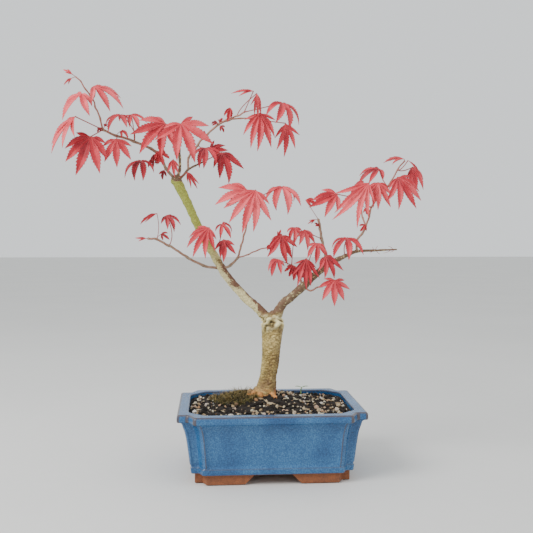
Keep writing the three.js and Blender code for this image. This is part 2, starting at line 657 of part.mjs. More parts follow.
const nodeRadius = nodeDiameter / 2;
const cutEnd = leftRadii[leftRadii.length - 1];
const uprightRadii = taper(0.2 * limbDiameter, 0.12 * limbDiameter, uprightTwig.length);
const backRadii = taper(0.18 * limbDiameter, 0.1 * limbDiameter, backTwig.length);
const wooden = {
  leftLimb: { points: leftLimb, radii: leftRadii, knuckleRadius: cutEnd, isLimb: true },
  rightLimb: { points: rightLimb, radii: rightRadii, knuckleRadius: 0.5 * nodeRadius, isLimb: true },
  uprightTwig: { points: uprightTwig, radii: uprightRadii, knuckleRadius: nodeRadius },
  backTwig: { points: backTwig, radii: backRadii, knuckleRadius: nodeRadius },
};
const grownWithTrunk = Object.keys(wooden);

// A piece of wood with its end knuckle. A lead makes it start square to the wood that carries it.
function woodSolid(name) {
  const { points, radii, knuckleRadius, lead, isLimb } = wooden[name];
  const route = [...points];
  const thickness = [...radii];
  if (lead) {
    route.splice(1, 0, points[0].clone().addScaledVector(lead, shootDiameter / 2));
    thickness.unshift(radii[0]);
  }
  return wood(route, thickness, isLimb ? 9 : 5)
    .add(knuckle(points[points.length - 1], knuckleRadius, isLimb ? 1 : 0));
}

const hubOf = (on, at, step) => vec(step).multiplyScalar(crownScale).add(wooden[on].points[at]);

function leafSolid([on, at, step, face, aim, share, fan, droop, lobes], joined) {
  const carrier = wooden[on];
  const hub = hubOf(on, at, step);
  const seat = seatOn(carrier, at, hub);
  const foot = joined ? carrier.points[at] : seat.foot;
  const bow = seat.out.clone().multiplyScalar(0.4 * hub.distanceTo(foot)).add(foot);
  const petiole = stalk(new THREE.QuadraticBezierCurve3(foot, bow, hub), petioleDiameter, 4, 3);
  return placed(blade(share * leafLobe, fan, droop, lobes), hub, face, aim).add(petiole);
}

function buildShoots() {
  const shoots = new Map();
  const nodeOf = {};
  for (const [name, { on, at, girth, steps, joined }] of Object.entries(shootPlan)) {
    const carrier = wooden[on];
    const station = carrier.points[at];
    const path = pathFrom(station, steps).slice(1);
    const seat = seatOn(carrier, at, path[0]);
    const points = [joined ? station : seat.foot, ...path];
    const radii = taper(...girth.map((share) => (share * shootDiameter) / 2), points.length);
    wooden[name] = { points, radii, knuckleRadius: nodeRadius, lead: joined ? null : seat.out };
    nodeOf[name] = joined ? nodeOf[on] : name;
    const solid = woodSolid(name);
    shoots.set(nodeOf[name], joined ? shoots.get(nodeOf[name]).add(solid) : solid);
  }
  for (const row of budPlan) {
    const node = nodeOf[row[0]];
    shoots.set(node, shoots.get(node).add(leafSolid(row, true)));
  }
  return shoots;
}

// The trunk: share of its height, sideways bend from its foot, and share of trunkDiameter.
const trunkCourse = [
  [-0.21, 0, 0, 0.9],
  [0.03, 0, 0, 1.35],
  [0.12, 3, -1, 1.15],
  [0.3, 6, -2, 0.94],
  [0.5, 8, -3, 0.98],
  [0.72, 10, -5, 1.1],
  [0.9, 10, -6, 1.26],
  [1.03, 9, -6, 0.75],
];
// Roots: the way each runs out, in degrees from +X, and how far it reaches.
const roots = [[195, 30], [250, 24], [308, 32], [20, 26], [75, 28], [135, 24]];
const rootRadii = [0.6, 0.46, 0.24].map((share) => (share * trunkDiameter) / 2);

// The trunk is one grown piece with its roots, limbs and spur twigs. It is grown by a clearance
// where it is used to cut its own pocket in the soil and moss.
function buildTrunk(extra = 0) {
  const climb = (share, x = 0, y = 0) => vec([x, y, share * trunkHeight]).add(trunkFoot);
  const grown = (radius) => radius + extra;
  const course = trunkCourse.map(([share, x, y]) => climb(share, x, y));
  const thickness = trunkCourse.map(([, , , share]) => (share * trunkDiameter) / 2);
  let tree = wood(course, thickness.map(grown), 12);
  for (const [turn, reach] of roots) {
    const out = vec([Math.cos(rad(turn)), Math.sin(rad(turn)), 0]);
    const points = [
      climb(0.1),
      climb(0.02).addScaledVector(out, 0.45 * reach),
      climb(-0.1).addScaledVector(out, reach),
    ];
    tree = tree.add(wood(points, rootRadii.map(grown), 7));
  }
  if (extra > 0) return tree;
  for (const name of grownWithTrunk) tree = tree.add(woodSolid(name));
  return tree;
}

// ---------- assembly ----------

const bonsai = new THREE.Group();
const inPlace = [];
function addPiece(name, solid, look) {
  inPlace.push(solid);
  bonsai.add(meshOf(name, solid, look));
}

const trunkPocket = buildTrunk(2 * gap);
const soilWhole = buildSoil();
const soilSeat = soilWhole.translate([0, 0, gap]);

addPiece('pot', buildPot(), looks.pot);
addPiece('drain_mesh_left', drainMesh(drainPlaces[0]), looks.mesh);
addPiece('drain_mesh_right', drainMesh(drainPlaces[1]), looks.mesh);
addPiece('soil', soilWhole.subtract(trunkPocket), looks.soil);
addPiece('moss', buildMoss().subtract(soilSeat).subtract(trunkPocket), looks.moss);
addPiece('seedling', buildSeedling().subtract(soilSeat), looks.seedling);
addPiece('trunk_and_limbs', buildTrunk(), looks.bark);

const spaced = (name) => name.replace(/[A-Z]/g, (letter) => `_${letter.toLowerCase()}`);
for (const [name, solid] of buildShoots()) {
  addPiece(`shoot_${spaced(name)}`, solid, looks.shoot);
}

// Swings a leaf round the foot of its petiole, a little further each time and to either side, and
// lifts or lowers it in turn, until it is clear of everything in place. A leaf that is clear
// already stays where it is.
const swingStep = 5;
const swings = Array.from({ length: 20 }, (_, i) => swingStep * Math.ceil(i / 2) * (i % 2 ? 1 : -1));
const lifts = [0, swingStep, -swingStep, 2 * swingStep, -2 * swingStep];
function settled(leaf, foot) {
  const from = foot.clone().negate().toArray();
  for (const lift of lifts) {
    for (const turn of swings) {
      const swung = leaf.translate(from).rotate([lift, 0, turn]).translate(foot.toArray());
      if (inPlace.every((other) => swung.minGap(other, gap) > gap / 3)) return swung;
    }
  }
  return leaf;
}

const leafCounts = {};
for (const row of leafPlan) {
  const [on, at, step] = row;
  const count = (leafCounts[on] ?? 0) + 1;
  leafCounts[on] = count;
  const { foot } = seatOn(wooden[on], at, hubOf(on, at, step));
  addPiece(`leaf_${spaced(on)}_${count}`, settled(leafSolid(row, false), foot), looks.leaf);
}

// The origin is at the middle of the whole plant's box, on the surface that the feet stand on.
const box = new THREE.Box3().setFromObject(bonsai);
const middle = box.getCenter(new THREE.Vector3());
bonsai.position.set(-middle.x, -middle.y, -box.min.z);
bonsai.updateMatrixWorld(true);

export default bonsai;
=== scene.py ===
import math

import bpy
import numpy as np
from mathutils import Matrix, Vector


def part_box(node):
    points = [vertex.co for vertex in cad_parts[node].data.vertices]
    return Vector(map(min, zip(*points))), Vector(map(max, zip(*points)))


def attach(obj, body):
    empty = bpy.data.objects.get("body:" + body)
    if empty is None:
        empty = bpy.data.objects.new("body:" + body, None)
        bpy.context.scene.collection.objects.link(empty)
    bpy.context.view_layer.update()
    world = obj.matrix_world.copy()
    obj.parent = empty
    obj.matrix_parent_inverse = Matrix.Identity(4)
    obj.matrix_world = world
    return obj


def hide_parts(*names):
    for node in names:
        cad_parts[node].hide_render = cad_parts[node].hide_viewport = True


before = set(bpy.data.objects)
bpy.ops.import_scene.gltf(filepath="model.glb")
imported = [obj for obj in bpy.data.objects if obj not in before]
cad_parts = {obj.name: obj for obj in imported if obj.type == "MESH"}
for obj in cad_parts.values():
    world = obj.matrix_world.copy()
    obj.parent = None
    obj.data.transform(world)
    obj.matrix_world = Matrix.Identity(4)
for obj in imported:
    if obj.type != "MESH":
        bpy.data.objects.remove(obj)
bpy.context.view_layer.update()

potLow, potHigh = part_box("pot")
potCentre = np.array([(potLow.x + potHigh.x) / 2, (potLow.y + potHigh.y) / 2, 0.0])
print("frame loaded")

# Shapes are worked out in millimetres from the middle of the pot's base. +X runs to the right,
# -Y to the front and +Z up. A shape is a dictionary of points, triangles and marks, where a
# mark is one number for each point that the material reads as an attribute.


def unit(v):
    return v / np.linalg.norm(v, axis=-1, keepdims=True)


def shape(points, faces, **marks):
    count = len(points)
    return {
        "points": np.asarray(points, float),
        "faces": np.asarray(faces, int),
        "marks": {key: np.broadcast_to(value, count).astype(float) for key, value in marks.items()},
    }


def merged(shapes):
    keys = sorted({key for s in shapes for key in s["marks"]})
    starts = np.cumsum([0] + [len(s["points"]) for s in shapes])
    return {
        "points": np.concatenate([s["points"] for s in shapes]),
        "faces": np.concatenate([s["faces"] + start for s, start in zip(shapes, starts)]),
        "marks": {
            key: np.concatenate([s["marks"].get(key, np.zeros(len(s["points"]))) for s in shapes])
            for key in keys
        },
    }


# Two triangles for each cell of a grid of rows and columns, which may close on itself sideways.
def gridFaces(rows, columns, closed=True):
    row = np.arange(rows - 1)[:, None]
    column = np.arange(columns if closed else columns - 1)[None, :]
    a = row * columns + column
    b = row * columns + (column + 1) % columns
    return np.stack([a, b, b + columns, a, b + columns, a + columns], -1).reshape(-1, 3)


# Rings of points, first to last, closed by a fan to a tip at each end.
def lofted(rings, firstTip, lastTip):
    rows, columns = rings.shape[:2]
    points = np.concatenate([rings.reshape(-1, 3), [firstTip, lastTip]])
    around = np.arange(columns)
    after = (around + 1) % columns
    first, last = rows * columns, rows * columns + 1
    lastRow = (rows - 1) * columns
    faces = np.concatenate([
        gridFaces(rows, columns),
        np.stack([np.full(columns, first), after, around], -1),
        np.stack([np.full(columns, last), lastRow + around, lastRow + after], -1),
    ])
    return points, faces


# A Catmull-Rom curve: on each span the point is the cubic in t that passes through the span's
# two ends with the slope of the line between their neighbours.
def smoothPath(points, perSpan):
    p = np.asarray(points, float)
    p = np.concatenate([[2 * p[0] - p[1]], p, [2 * p[-1] - p[-2]]])
    t = (np.arange(perSpan) / perSpan)[None, :, None]
    a, b, c, d = (p[i:len(p) - 3 + i, None, :] for i in range(4))
    curve = 0.5 * (2 * b + (c - a) * t + (2 * a - 5 * b + 4 * c - d) * t**2
                   + (3 * b - a - 3 * c + d) * t**3)
    return np.concatenate([curve.reshape(-1, 3), p[-2:-1]])


# A tube: the point at a turn is the path's point plus radius times (side cos turn + across sin
# turn), where side is square to the path and to one fixed axis.
def tubeRings(path, radii, sides):
    along = unit(np.gradient(path, axis=0))
    axis = np.eye(3)[np.argmin(np.abs(along).max(0))]
    side = unit(np.cross(axis, along))
    across = np.cross(along, side)
    turn = np.linspace(0, 2 * np.pi, sides, endpoint=False)[None, :, None]
    spread = np.asarray(radii, float)[:, None, None]
    circle = side[:, None, :] * np.cos(turn) + across[:, None, :] * np.sin(turn)
    return path[:, None, :] + spread * circle


# A closed tube whose ends bulge by a share of the radius. A mark has one value for each point of
# the path, or one for all of it.
def tube(path, radii, sides, tip=0.5, **marks):
    rings = tubeRings(path, radii, sides)
    start = path[0] - unit(path[1] - path[0]) * radii[0] * 0.3
    end = path[-1] + unit(path[-1] - path[-2]) * radii[-1] * tip
    points, faces = lofted(rings, start, end)
    spreadMarks = {}
    for key, value in marks.items():
        value = np.broadcast_to(value, len(path))
        spreadMarks[key] = np.concatenate([np.repeat(value, sides), value[[0, -1]]])
    return shape(points, faces, **spreadMarks)


# Smooth noise: the sum of sine waves of about one length that run in random directions.
def ripples(points, size, seed, count=22):
    random = np.random.default_rng(seed)
    pitch = 2 * np.pi / (size * random.uniform(0.7, 1.6, count))
    waves = unit(random.normal(size=(count, 3))) * pitch[:, None]
    return np.sin(points @ waves.T + random.uniform(0, 2 * np.pi, count)).sum(-1) / math.sqrt(count)


# Mean of the normals of the faces that meet at each point.
def pointNormals(points, faces):
    a, b, c = (points[faces[:, i]] for i in range(3))
    normal = np.cross(b - a, c - a)
    total = np.zeros_like(points)
    for i in range(3):
        np.add.at(total, faces[:, i], normal)
    return total / np.maximum(np.linalg.norm(total, axis=1, keepdims=True), 1e-12)


# A sheet made a closed shell: its copy lies one thickness below it, and walls join the two
# along each edge that only one triangle uses. The copy's points are marked under = 1.
def thickened(sheet, thickness):
    points, faces, count = sheet["points"], sheet["faces"], len(sheet["points"])
    lower = points - pointNormals(points, faces) * thickness
    edges = np.concatenate([faces[:, [0, 1]], faces[:, [1, 2]], faces[:, [2, 0]]])
    code = edges[:, 0] * count + edges[:, 1]
    back = edges[:, 1] * count + edges[:, 0]
    u, v = edges[~np.isin(code, back)].T
    walls = np.concatenate([np.stack([v, u, u + count], -1),
                            np.stack([v, u + count, v + count], -1)])
    marks = {key: np.tile(value, 2) for key, value in sheet["marks"].items()}
    marks["under"] = np.repeat([0.0, 1.0], count)
    return {
        "points": np.concatenate([points, lower]),
        "faces": np.concatenate([faces, faces[:, ::-1] + count, walls]),
        "marks": marks,
    }


# A shape as an object in metres, at the origin, with its marks as attributes.
def objectFrom(name, made, smooth=True):
    mesh = bpy.data.meshes.new(name)
    points = (made["points"] * 0.001 + potCentre).astype(np.float32)
    faces = made["faces"].astype(np.int32)
    mesh.vertices.add(len(points))
    mesh.vertices.foreach_set("co", points.ravel())
    mesh.loops.add(faces.size)
    mesh.loops.foreach_set("vertex_index", faces.ravel())
    mesh.polygons.add(len(faces))
    mesh.polygons.foreach_set("loop_start", np.arange(0, faces.size, 3, dtype=np.int32))
    mesh.polygons.foreach_set("use_smooth", np.full(len(faces), smooth))
    for key, values in made["marks"].items():
        column = mesh.attributes.new(key, "FLOAT", "POINT")
        column.data.foreach_set("value", values.astype(np.float32))
    mesh.update(calc_edges=True)
    mesh.validate()
    piece = bpy.data.objects.new(name, mesh)
    bpy.context.scene.collection.objects.link(piece)
    return piece


# Points and triangles of an object once its modifiers have run, back in millimetres.
def evaluatedShape(piece):
    finished = piece.evaluated_get(bpy.context.evaluated_depsgraph_get()).to_mesh()
    finished.calc_loop_triangles()
    points = np.empty(len(finished.vertices) * 3, np.float32)
    faces = np.empty(len(finished.loop_triangles) * 3, np.int32)
    finished.vertices.foreach_get("co", points)
    finished.loop_triangles.foreach_get("vertices", faces)
    piece.to_mesh_clear()
    return (points.reshape(-1, 3).astype(float) - potCentre) * 1000, faces.reshape(-1, 3)


def discard(piece):
    bpy.data.objects.remove(piece, do_unlink=True)


# Gives a piece its material and its body, and hides the frame's parts that it stands for.
def dress(piece, nodes, finish):
    piece.data.materials.append(finish)
    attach(piece, "root")
    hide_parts(*nodes)


# A colour as a screen counts it, from 0 to 255, made linear: v / 12.92 while v is small, and
# ((v + 0.055) / 1.055) ** 2.4 above that.
def linear(red, green, blue):
    value = np.array([red, green, blue]) / 255
    return (*np.where(value <= 0.04045, value / 12.92, ((value + 0.055) / 1.055) ** 2.4), 1.0)


# A node whose inputs are set from a dictionary: a socket is linked and anything else is a value.
def addNode(tree, kind, inputs=None, **settings):
    made = tree.nodes.new(kind)
    for key, value in settings.items():
        setattr(made, key, value)
    for key, value in (inputs or {}).items():
        if isinstance(value, bpy.types.NodeSocket):
            tree.links.new(value, made.inputs[key])
        else:
            made.inputs[key].default_value = value
    return made


def attribute(tree, name):
    return addNode(tree, "ShaderNodeAttribute", attribute_name=name).outputs["Fac"]


def calc(tree, operation, a, b=0.0, clamp=False):
    node = addNode(tree, "ShaderNodeMath", {0: a, 1: b}, operation=operation, use_clamp=clamp)
    return node.outputs[0]


# a * b + c, where c is the third input of the node.
def timesPlus(tree, a, b, c):
    return addNode(tree, "ShaderNodeMath", {0: a, 1: b, 2: c}, operation="MULTIPLY_ADD").outputs[0]


def times(tree, a, b):
    return calc(tree, "MULTIPLY", a, b)


# One minus a value.
def lacking(tree, value):
    return calc(tree, "SUBTRACT", 1.0, value)


# Colour a where the share is 0 and colour b where it is 1.
def blend(tree, share, a, b):
    mix = addNode(tree, "ShaderNodeMix", {"Factor": share}, data_type="RGBA")
    for index, value in ((6, a), (7, b)):
        if isinstance(value, bpy.types.NodeSocket):
            tree.links.new(value, mix.inputs[index])
        else:
            mix.inputs[index].default_value = value
    return mix.outputs[2]


# A colour ramp. Its first two stops are the ones that a new ramp has, at its two ends.
def ramp(tree, share, stops):
    made = addNode(tree, "ShaderNodeValToRGB", {"Fac": share})
    elements = made.color_ramp.elements
    for index, (position, colour) in enumerate(stops):
        element = elements[index] if index < 2 else elements.new(position)
        element.position = position
        element.color = colour
    return made.outputs["Color"]


# A smooth step: 0 up to low, 1 from high on.
def between(tree, value, low, high):
    step = addNode(tree, "ShaderNodeMapRange", {"Value": value, "From Min": low, "From Max": high},
                   interpolation_type="SMOOTHSTEP")
    return step.outputs["Result"]


socketKinds = {"number": "NodeSocketFloat", "vector": "NodeSocketVector",
               "colour": "NodeSocketColor"}


# An empty node group with its named sockets, and the inside ends of them.
def groupOf(name, takes, gives):
    tree = bpy.data.node_groups.new(name, "ShaderNodeTree")
    for label, kind in takes.items():
        tree.interface.new_socket(name=label, in_out="INPUT", socket_type=socketKinds[kind])
    for label, kind in gives.items():
        tree.interface.new_socket(name=label, in_out="OUTPUT", socket_type=socketKinds[kind])
    return tree, tree.nodes.new("NodeGroupInput").outputs, tree.nodes.new("NodeGroupOutput").inputs


# Group "mottle": soft patches over fine specks, as a mask from 0 to 1.
def mottleGroup():
    tree, given, result = groupOf("mottle", {"Vector": "vector", "Patch Scale": "number",
                                             "Speck Scale": "number", "Speck Share": "number"},
                                  {"Mask": "number"})
    patch = addNode(tree, "ShaderNodeTexNoise", {
        "Vector": given["Vector"], "Scale": given["Patch Scale"], "Detail": 4.0}).outputs["Fac"]
    speck = addNode(tree, "ShaderNodeTexNoise", {
        "Vector": given["Vector"], "Scale": given["Speck Scale"], "Detail": 2.0}).outputs["Fac"]
    softened = between(tree, patch, 0.3, 0.7)
    sharpened = between(tree, speck, 0.35, 0.65)
    step = calc(tree, "SUBTRACT", sharpened, softened)
    tree.links.new(timesPlus(tree, step, given["Speck Share"], softened), result["Mask"])
    return tree


# Group "furrow": ridges that run one way, from noise that is squeezed across and drawn out along.
def furrowGroup():
    tree, given, result = groupOf("furrow", {"Vector": "vector", "Scale": "number",
                                             "Drawn Out": "vector"}, {"Height": "number"})
    drawn = addNode(tree, "ShaderNodeVectorMath", {0: given["Vector"], 1: given["Drawn Out"]},
                    operation="MULTIPLY").outputs[0]
    noise = addNode(tree, "ShaderNodeTexNoise", {
        "Vector": drawn, "Scale": given["Scale"], "Detail": 6.0, "Roughness": 0.6}).outputs["Fac"]
    ridge = calc(tree, "ABSOLUTE", calc(tree, "SUBTRACT", noise, 0.5))
    tree.links.new(calc(tree, "MULTIPLY", ridge, 4.0, clamp=True), result["Height"])
    return tree


mottle = mottleGroup()
furrow = furrowGroup()


def place(tree):
    return addNode(tree, "ShaderNodeTexCoord").outputs["Object"]


def mottled(tree, patchScale, speckScale, speckShare=0.35, vector=None):
    given = {"Vector": vector or place(tree), "Patch Scale": patchScale,
             "Speck Scale": speckScale, "Speck Share": speckShare}
    return addNode(tree, "ShaderNodeGroup", given, node_tree=mottle).outputs["Mask"]


def furrowed(tree, scale, drawnOut=(1.0, 1.0, 0.25)):
    given = {"Vector": place(tree), "Scale": scale, "Drawn Out": drawnOut}
    return addNode(tree, "ShaderNodeGroup", given, node_tree=furrow).outputs["Height"]


# A material from a function that gives its base colour, roughness, bump height and bump depth.
def finishOf(name, build, **fixed):
    made = bpy.data.materials.new(name)
    made.use_nodes = True
    tree = made.node_tree
    shader = tree.nodes["Principled BSDF"]
    for key, value in fixed.items():
        shader.inputs[key.replace("_", " ")].default_value = value
    colour, roughness, height, depth = build(tree)
    tree.links.new(colour, shader.inputs["Base Color"])
    if isinstance(roughness, bpy.types.NodeSocket):
        tree.links.new(roughness, shader.inputs["Roughness"])
    else:
        shader.inputs["Roughness"].default_value = roughness
    bump = addNode(tree, "ShaderNodeBump", {"Height": height, "Distance": depth, "Strength": 1.0})
    tree.links.new(bump.outputs["Normal"], shader.inputs["Normal"])
    return made


glazeColours = {
    "deep": linear(14, 60, 104),
    "middle": linear(30, 84, 132),
    "pale": linear(62, 116, 160),
    "breaking": linear(74, 62, 60),
    "clay": linear(154, 90, 50),
    "clayDark": linear(96, 54, 32),
}


def glaze(tree):
    cloud = mottled(tree, 24.0, 800.0, 0.55)
    blue = ramp(tree, cloud, [(0.0, glazeColours["deep"]), (1.0, glazeColours["pale"]),
                              (0.5, glazeColours["middle"])])
    worn = between(tree, mottled(tree, 160.0, 700.0), -0.25, 0.4)
    thin = times(tree, attribute(tree, "breaking"), worn)
    glazed = blend(tree, thin, blue, glazeColours["breaking"])
    grog = mottled(tree, 120.0, 1400.0, 0.6)
    clay = blend(tree, grog, glazeColours["clayDark"], glazeColours["clay"])
    uneven = calc(tree, "ADD", attribute(tree, "bare"), times(tree, cloud, 0.2))
    edge = between(tree, uneven, 0.45, 0.7)
    return blend(tree, edge, glazed, clay), timesPlus(tree, edge, 0.5, 0.27), cloud, 0.00022


potting = {
    "damp": linear(22, 18, 15),
    "dry": linear(48, 38, 30),
    "grains": [(0.0, linear(20, 16, 13)), (1.0, linear(236, 234, 226)), (0.3, linear(44, 33, 25)),
               (0.42, linear(108, 80, 54)), (0.52, linear(186, 160, 122)),
               (0.66, linear(222, 208, 176)), (0.8, linear(232, 224, 204)),
               (0.88, linear(198, 146, 100))],
}


def pottingMix(tree):
    cloud = mottled(tree, 220.0, 1500.0, 0.5)
    crumbs = blend(tree, cloud, potting["damp"], potting["dry"])
    grains = ramp(tree, attribute(tree, "hue"), potting["grains"])
    shaded = blend(tree, times(tree, cloud, 0.22), grains, potting["dry"])
    colour = blend(tree, attribute(tree, "grain"), crumbs, shaded)
    return colour, 0.92, mottled(tree, 700.0, 2400.0, 0.5), 0.0006


mossHues = [(0.0, linear(22, 20, 12)), (1.0, linear(196, 172, 112)), (0.25, linear(44, 42, 20)),
            (0.5, linear(84, 80, 34)), (0.7, linear(112, 96, 48)), (0.85, linear(150, 124, 70))]


def mossFinish(tree):
    tuft = ramp(tree, attribute(tree, "hue"), mossHues)
    dark = blend(tree, mottled(tree, 260.0, 1300.0, 0.5), tuft, mossHues[0][1])
    return blend(tree, 0.65, dark, tuft), 0.9, mottled(tree, 900.0, 2500.0, 0.5), 0.0004


barkColours = {
    "trunk": linear(188, 158, 90),
    "pale": linear(222, 198, 130),
    # A dark brown for the trunk's darker patches, and painted shade on its right side.
    "shade": linear(92, 68, 36),
    "fleck": linear(92, 70, 42),
    "cream": linear(216, 204, 150),
    "russet": linear(112, 76, 56),
    "olive": linear(134, 132, 62),
    "green": linear(158, 170, 56),
    "grey": linear(120, 102, 76),
    "root": linear(212, 138, 72),
    "callus": linear(250, 240, 182),
    # Painted shade, for the hollows between the callus's lumps.
    "hollow": linear(44, 40, 20),
}


fissures = {"scale": 420.0, "drawnOut": (0.4, 0.4, 1.0)}
trunkFootLow, trunkFootHigh = 0.082, 0.104  # metres above the floor, where the foot's russet ends


def barkFinish(tree):
    colours = barkColours
    grooves = furrowed(tree, fissures["scale"], fissures["drawnOut"])
    flecks = lacking(tree, between(tree, grooves, 0.0, 0.34))
    patches = mottled(tree, 90.0, 700.0, 0.3)
    trunk = ramp(tree, mottled(tree, 62.0, 520.0, 0.35), [
        (0.0, colours["shade"]), (1.0, colours["pale"]), (0.5, colours["trunk"])])
    trunk = blend(tree, times(tree, flecks, 0.72), trunk, colours["fleck"])
    trunk = blend(tree, times(tree, attribute(tree, "leftSide"), 0.3), trunk, colours["olive"])
    # Painted shade: the trunk is darkened towards its right side, away from the key light.
    trunk = blend(tree, times(tree, attribute(tree, "rightSide"), 0.5), trunk, colours["shade"])
    height = addNode(tree, "ShaderNodeSeparateXYZ", {"Vector": place(tree)}).outputs["Z"]
    low = lacking(tree, between(tree, height, trunkFootLow, trunkFootHigh))
    trunk = blend(tree, times(tree, low, times(tree, patches, 0.8)), trunk, colours["russet"])
    trunk = blend(tree, attribute(tree, "root"), trunk, colours["root"])
    trunk = blend(tree, attribute(tree, "callus"), trunk, colours["callus"])
    sunSide = calc(tree, "ADD", attribute(tree, "upperSide"), times(tree, patches, 0.9))
    limb = blend(tree, between(tree, sunSide, 0.75, 1.05), colours["cream"], colours["russet"])
    limb = blend(tree, times(tree, attribute(tree, "greener"), 0.88), limb, colours["green"])
    specks = between(tree, mottled(tree, 260.0, 420.0, 0.5), 0.72, 0.9)
    older = blend(tree, patches, colours["russet"], colours["grey"])
    older = blend(tree, times(tree, specks, 0.75), older, colours["cream"])
    limb = blend(tree, attribute(tree, "greyer"), limb, older)
    limb = blend(tree, times(tree, flecks, 0.35), limb, colours["fleck"])
    colour = blend(tree, attribute(tree, "limb"), trunk, limb)
    # Painted shade: the deepest dips between the callus's lumps are darkened nearly to black.
    colour = blend(tree, attribute(tree, "hollow"), colour, colours["hollow"])
    return colour, 0.72, grooves, 0.0004


twigColours = {
    "old": linear(112, 88, 66),
    "grey": linear(172, 150, 124),
    "young": linear(176, 112, 94),
    "fresh": linear(190, 84, 78),
}


leafColours = {
    "dark": linear(112, 14, 28),
    "middle": linear(198, 44, 58),
    "pale": linear(240, 98, 104),
    "vein": linear(232, 108, 108),
    "under": linear(214, 84, 86),
    "stalk": linear(160, 66, 58),
    "rim": linear(112, 18, 28),
}
leafMarks = ("Tone", "Aside", "Along", "Rim", "Under", "Stalk")


# Group "leafTint": the colour and the height of a leaf from its marks. The blade goes from dark to
# pale by its tone, which carries painted light and shade, and a cloud; over it come the veins, the
# rim, the underside and the stalk.
def leafTintGroup():
    colours = leafColours
    takes = {"Vector": "vector", **dict.fromkeys(leafMarks, "number")}
    tree, given, result = groupOf("leafTint", takes, {"Color": "colour", "Height": "number"})
    cloud = mottled(tree, 90.0, 620.0, 0.3, given["Vector"])
    shade = timesPlus(tree, cloud, 0.34, given["Tone"])
    body = ramp(tree, calc(tree, "SUBTRACT", shade, 0.17), [
        (0.0, colours["dark"]), (1.0, colours["pale"]), (0.5, colours["middle"])])
    midrib = lacking(tree, between(tree, given["Aside"], 0.08, 0.42))
    slanted = calc(tree, "SUBTRACT", given["Along"], times(tree, given["Aside"], 1.15))
    wave = calc(tree, "ABSOLUTE", calc(tree, "SINE", times(tree, slanted, 1.25)))
    sideVein = times(tree, lacking(tree, between(tree, wave, 0.0, 0.22)), 0.4)
    veins = calc(tree, "MAXIMUM", times(tree, midrib, 0.75), sideVein)
    edge = between(tree, given["Rim"], 0.8, 1.0)
    colour = blend(tree, times(tree, veins, 0.6), body, colours["vein"])
    colour = blend(tree, times(tree, edge, 0.4), colour, colours["rim"])
    colour = blend(tree, times(tree, given["Under"], 0.55), colour, colours["under"])
    colour = blend(tree, given["Stalk"], colour, colours["stalk"])
    tree.links.new(colour, result["Color"])
    tree.links.new(calc(tree, "SUBTRACT", times(tree, cloud, 0.3), veins), result["Height"])
    return tree


leafTint = leafTintGroup()


def leafColour(tree):
    marks = {label: attribute(tree, label.lower()) for label in leafMarks}
    tint = addNode(tree, "ShaderNodeGroup", {"Vector": place(tree), **marks}, node_tree=leafTint)
    return tint.outputs["Color"], tint.outputs["Height"]


def leafFinish(tree):
    colour, height = leafColour(tree)
    return colour, 0.5, height, 0.00025


def shootFinish(tree):
    rind = blend(tree, mottled(tree, 240.0, 1500.0, 0.5), twigColours["old"], twigColours["grey"])
    fresh = blend(tree, mottled(tree, 200.0, 900.0), twigColours["young"], twigColours["fresh"])
    rind = blend(tree, attribute(tree, "young"), rind, fresh)
    colour, height = leafColour(tree)
    height = calc(tree, "ADD", height, furrowed(tree, 900.0))
    return blend(tree, attribute(tree, "foliage"), rind, colour), 0.62, height, 0.0002


def seedlingFinish(tree):
    stem = blend(tree, mottled(tree, 300.0, 1800.0), linear(112, 150, 78), linear(150, 170, 104))
    blade = blend(tree, mottled(tree, 260.0, 1500.0), linear(84, 128, 66), linear(120, 158, 84))
    colour = blend(tree, attribute(tree, "blade"), stem, blade)
    return colour, 0.5, mottled(tree, 900.0, 2400.0), 0.0001


def netFinish(tree):
    cloud = mottled(tree, 150.0, 1600.0, 0.5)
    return blend(tree, cloud, linear(22, 26, 24), linear(44, 48, 44)), 0.55, cloud, 0.0001


def floorFinish(tree):
    cloud = mottled(tree, 3.0, 60.0, 0.2)
    return blend(tree, cloud, linear(214, 213, 210), linear(218, 217, 214)), 0.8, cloud, 0.0001


finishes = {
    "pot": finishOf("blueGlaze", glaze, Coat_Weight=0.15, Coat_Roughness=0.15),
    "soil": finishOf("pottingMix", pottingMix),
    "moss": finishOf("mossTuft", mossFinish),
    "bark": finishOf("mapleBark", barkFinish),
    "shoot": finishOf("youngBark", shootFinish),
    "leaf": finishOf("redLeaf", leafFinish, Specular_IOR_Level=0.35),
    "seedling": finishOf("seedlingGreen", seedlingFinish),
    "net": finishOf("drainNet", netFinish),
    "floor": finishOf("paleFloor", floorFinish),
}
print("materials made")

pot = {
    "rimLength": 200, "rimDepth": 150, "height": 73, "rimWidth": 12, "lipHeight": 7.5, "lipStep": 3,
    "flareLength": 16, "flareDepth": 10, "curlShare": 0.45, "wall": 8, "floor": 8,
    "bandHeight": 7, "bandStep": 1.2,
    "notchLength": 18, "notchDepth": 14, "notchSlant": 6.5, "notchBaseShare": 0.68,
    "footHeight": 10.5, "footWidth": 15, "footInset": 2.5,
    "frontArch": 60, "sideArch": 44, "archSlope": 11, "drainDiameter": 16, "drainSpacing": 90,
    "panelDepth": 1.2, "ribHeight": 1.5, "ribWidth": 1.3, "ribPlace": 0.8, "cornerRound": 2.0,
    "insideCut": 3, "insideRound": 5.0,
}
lipBottom = pot["height"] - pot["lipHeight"]
bandTop = pot["footHeight"] + pot["bandHeight"]
longSide = 60  # a side of the outline longer than this is a wall with a panel
# The lip's profile: height above its lower edge, how proud of the wall, and how thin the glaze is.
lipProfile = [
    (-0.5, 2.3, 0.0), (0.2, 2.75, 0.0), (1.0, 3.0, 0.0), (3.0, 3.0, 0.0), (4.8, 2.95, 0.0),
    (5.9, 2.75, 0.2), (6.6, 2.35, 0.8), (7.1, 1.8, 1.0), (7.4, 1.1, 0.7), (7.5, 0.3, 0.1),
    (7.5, -0.6, 0.0),
]
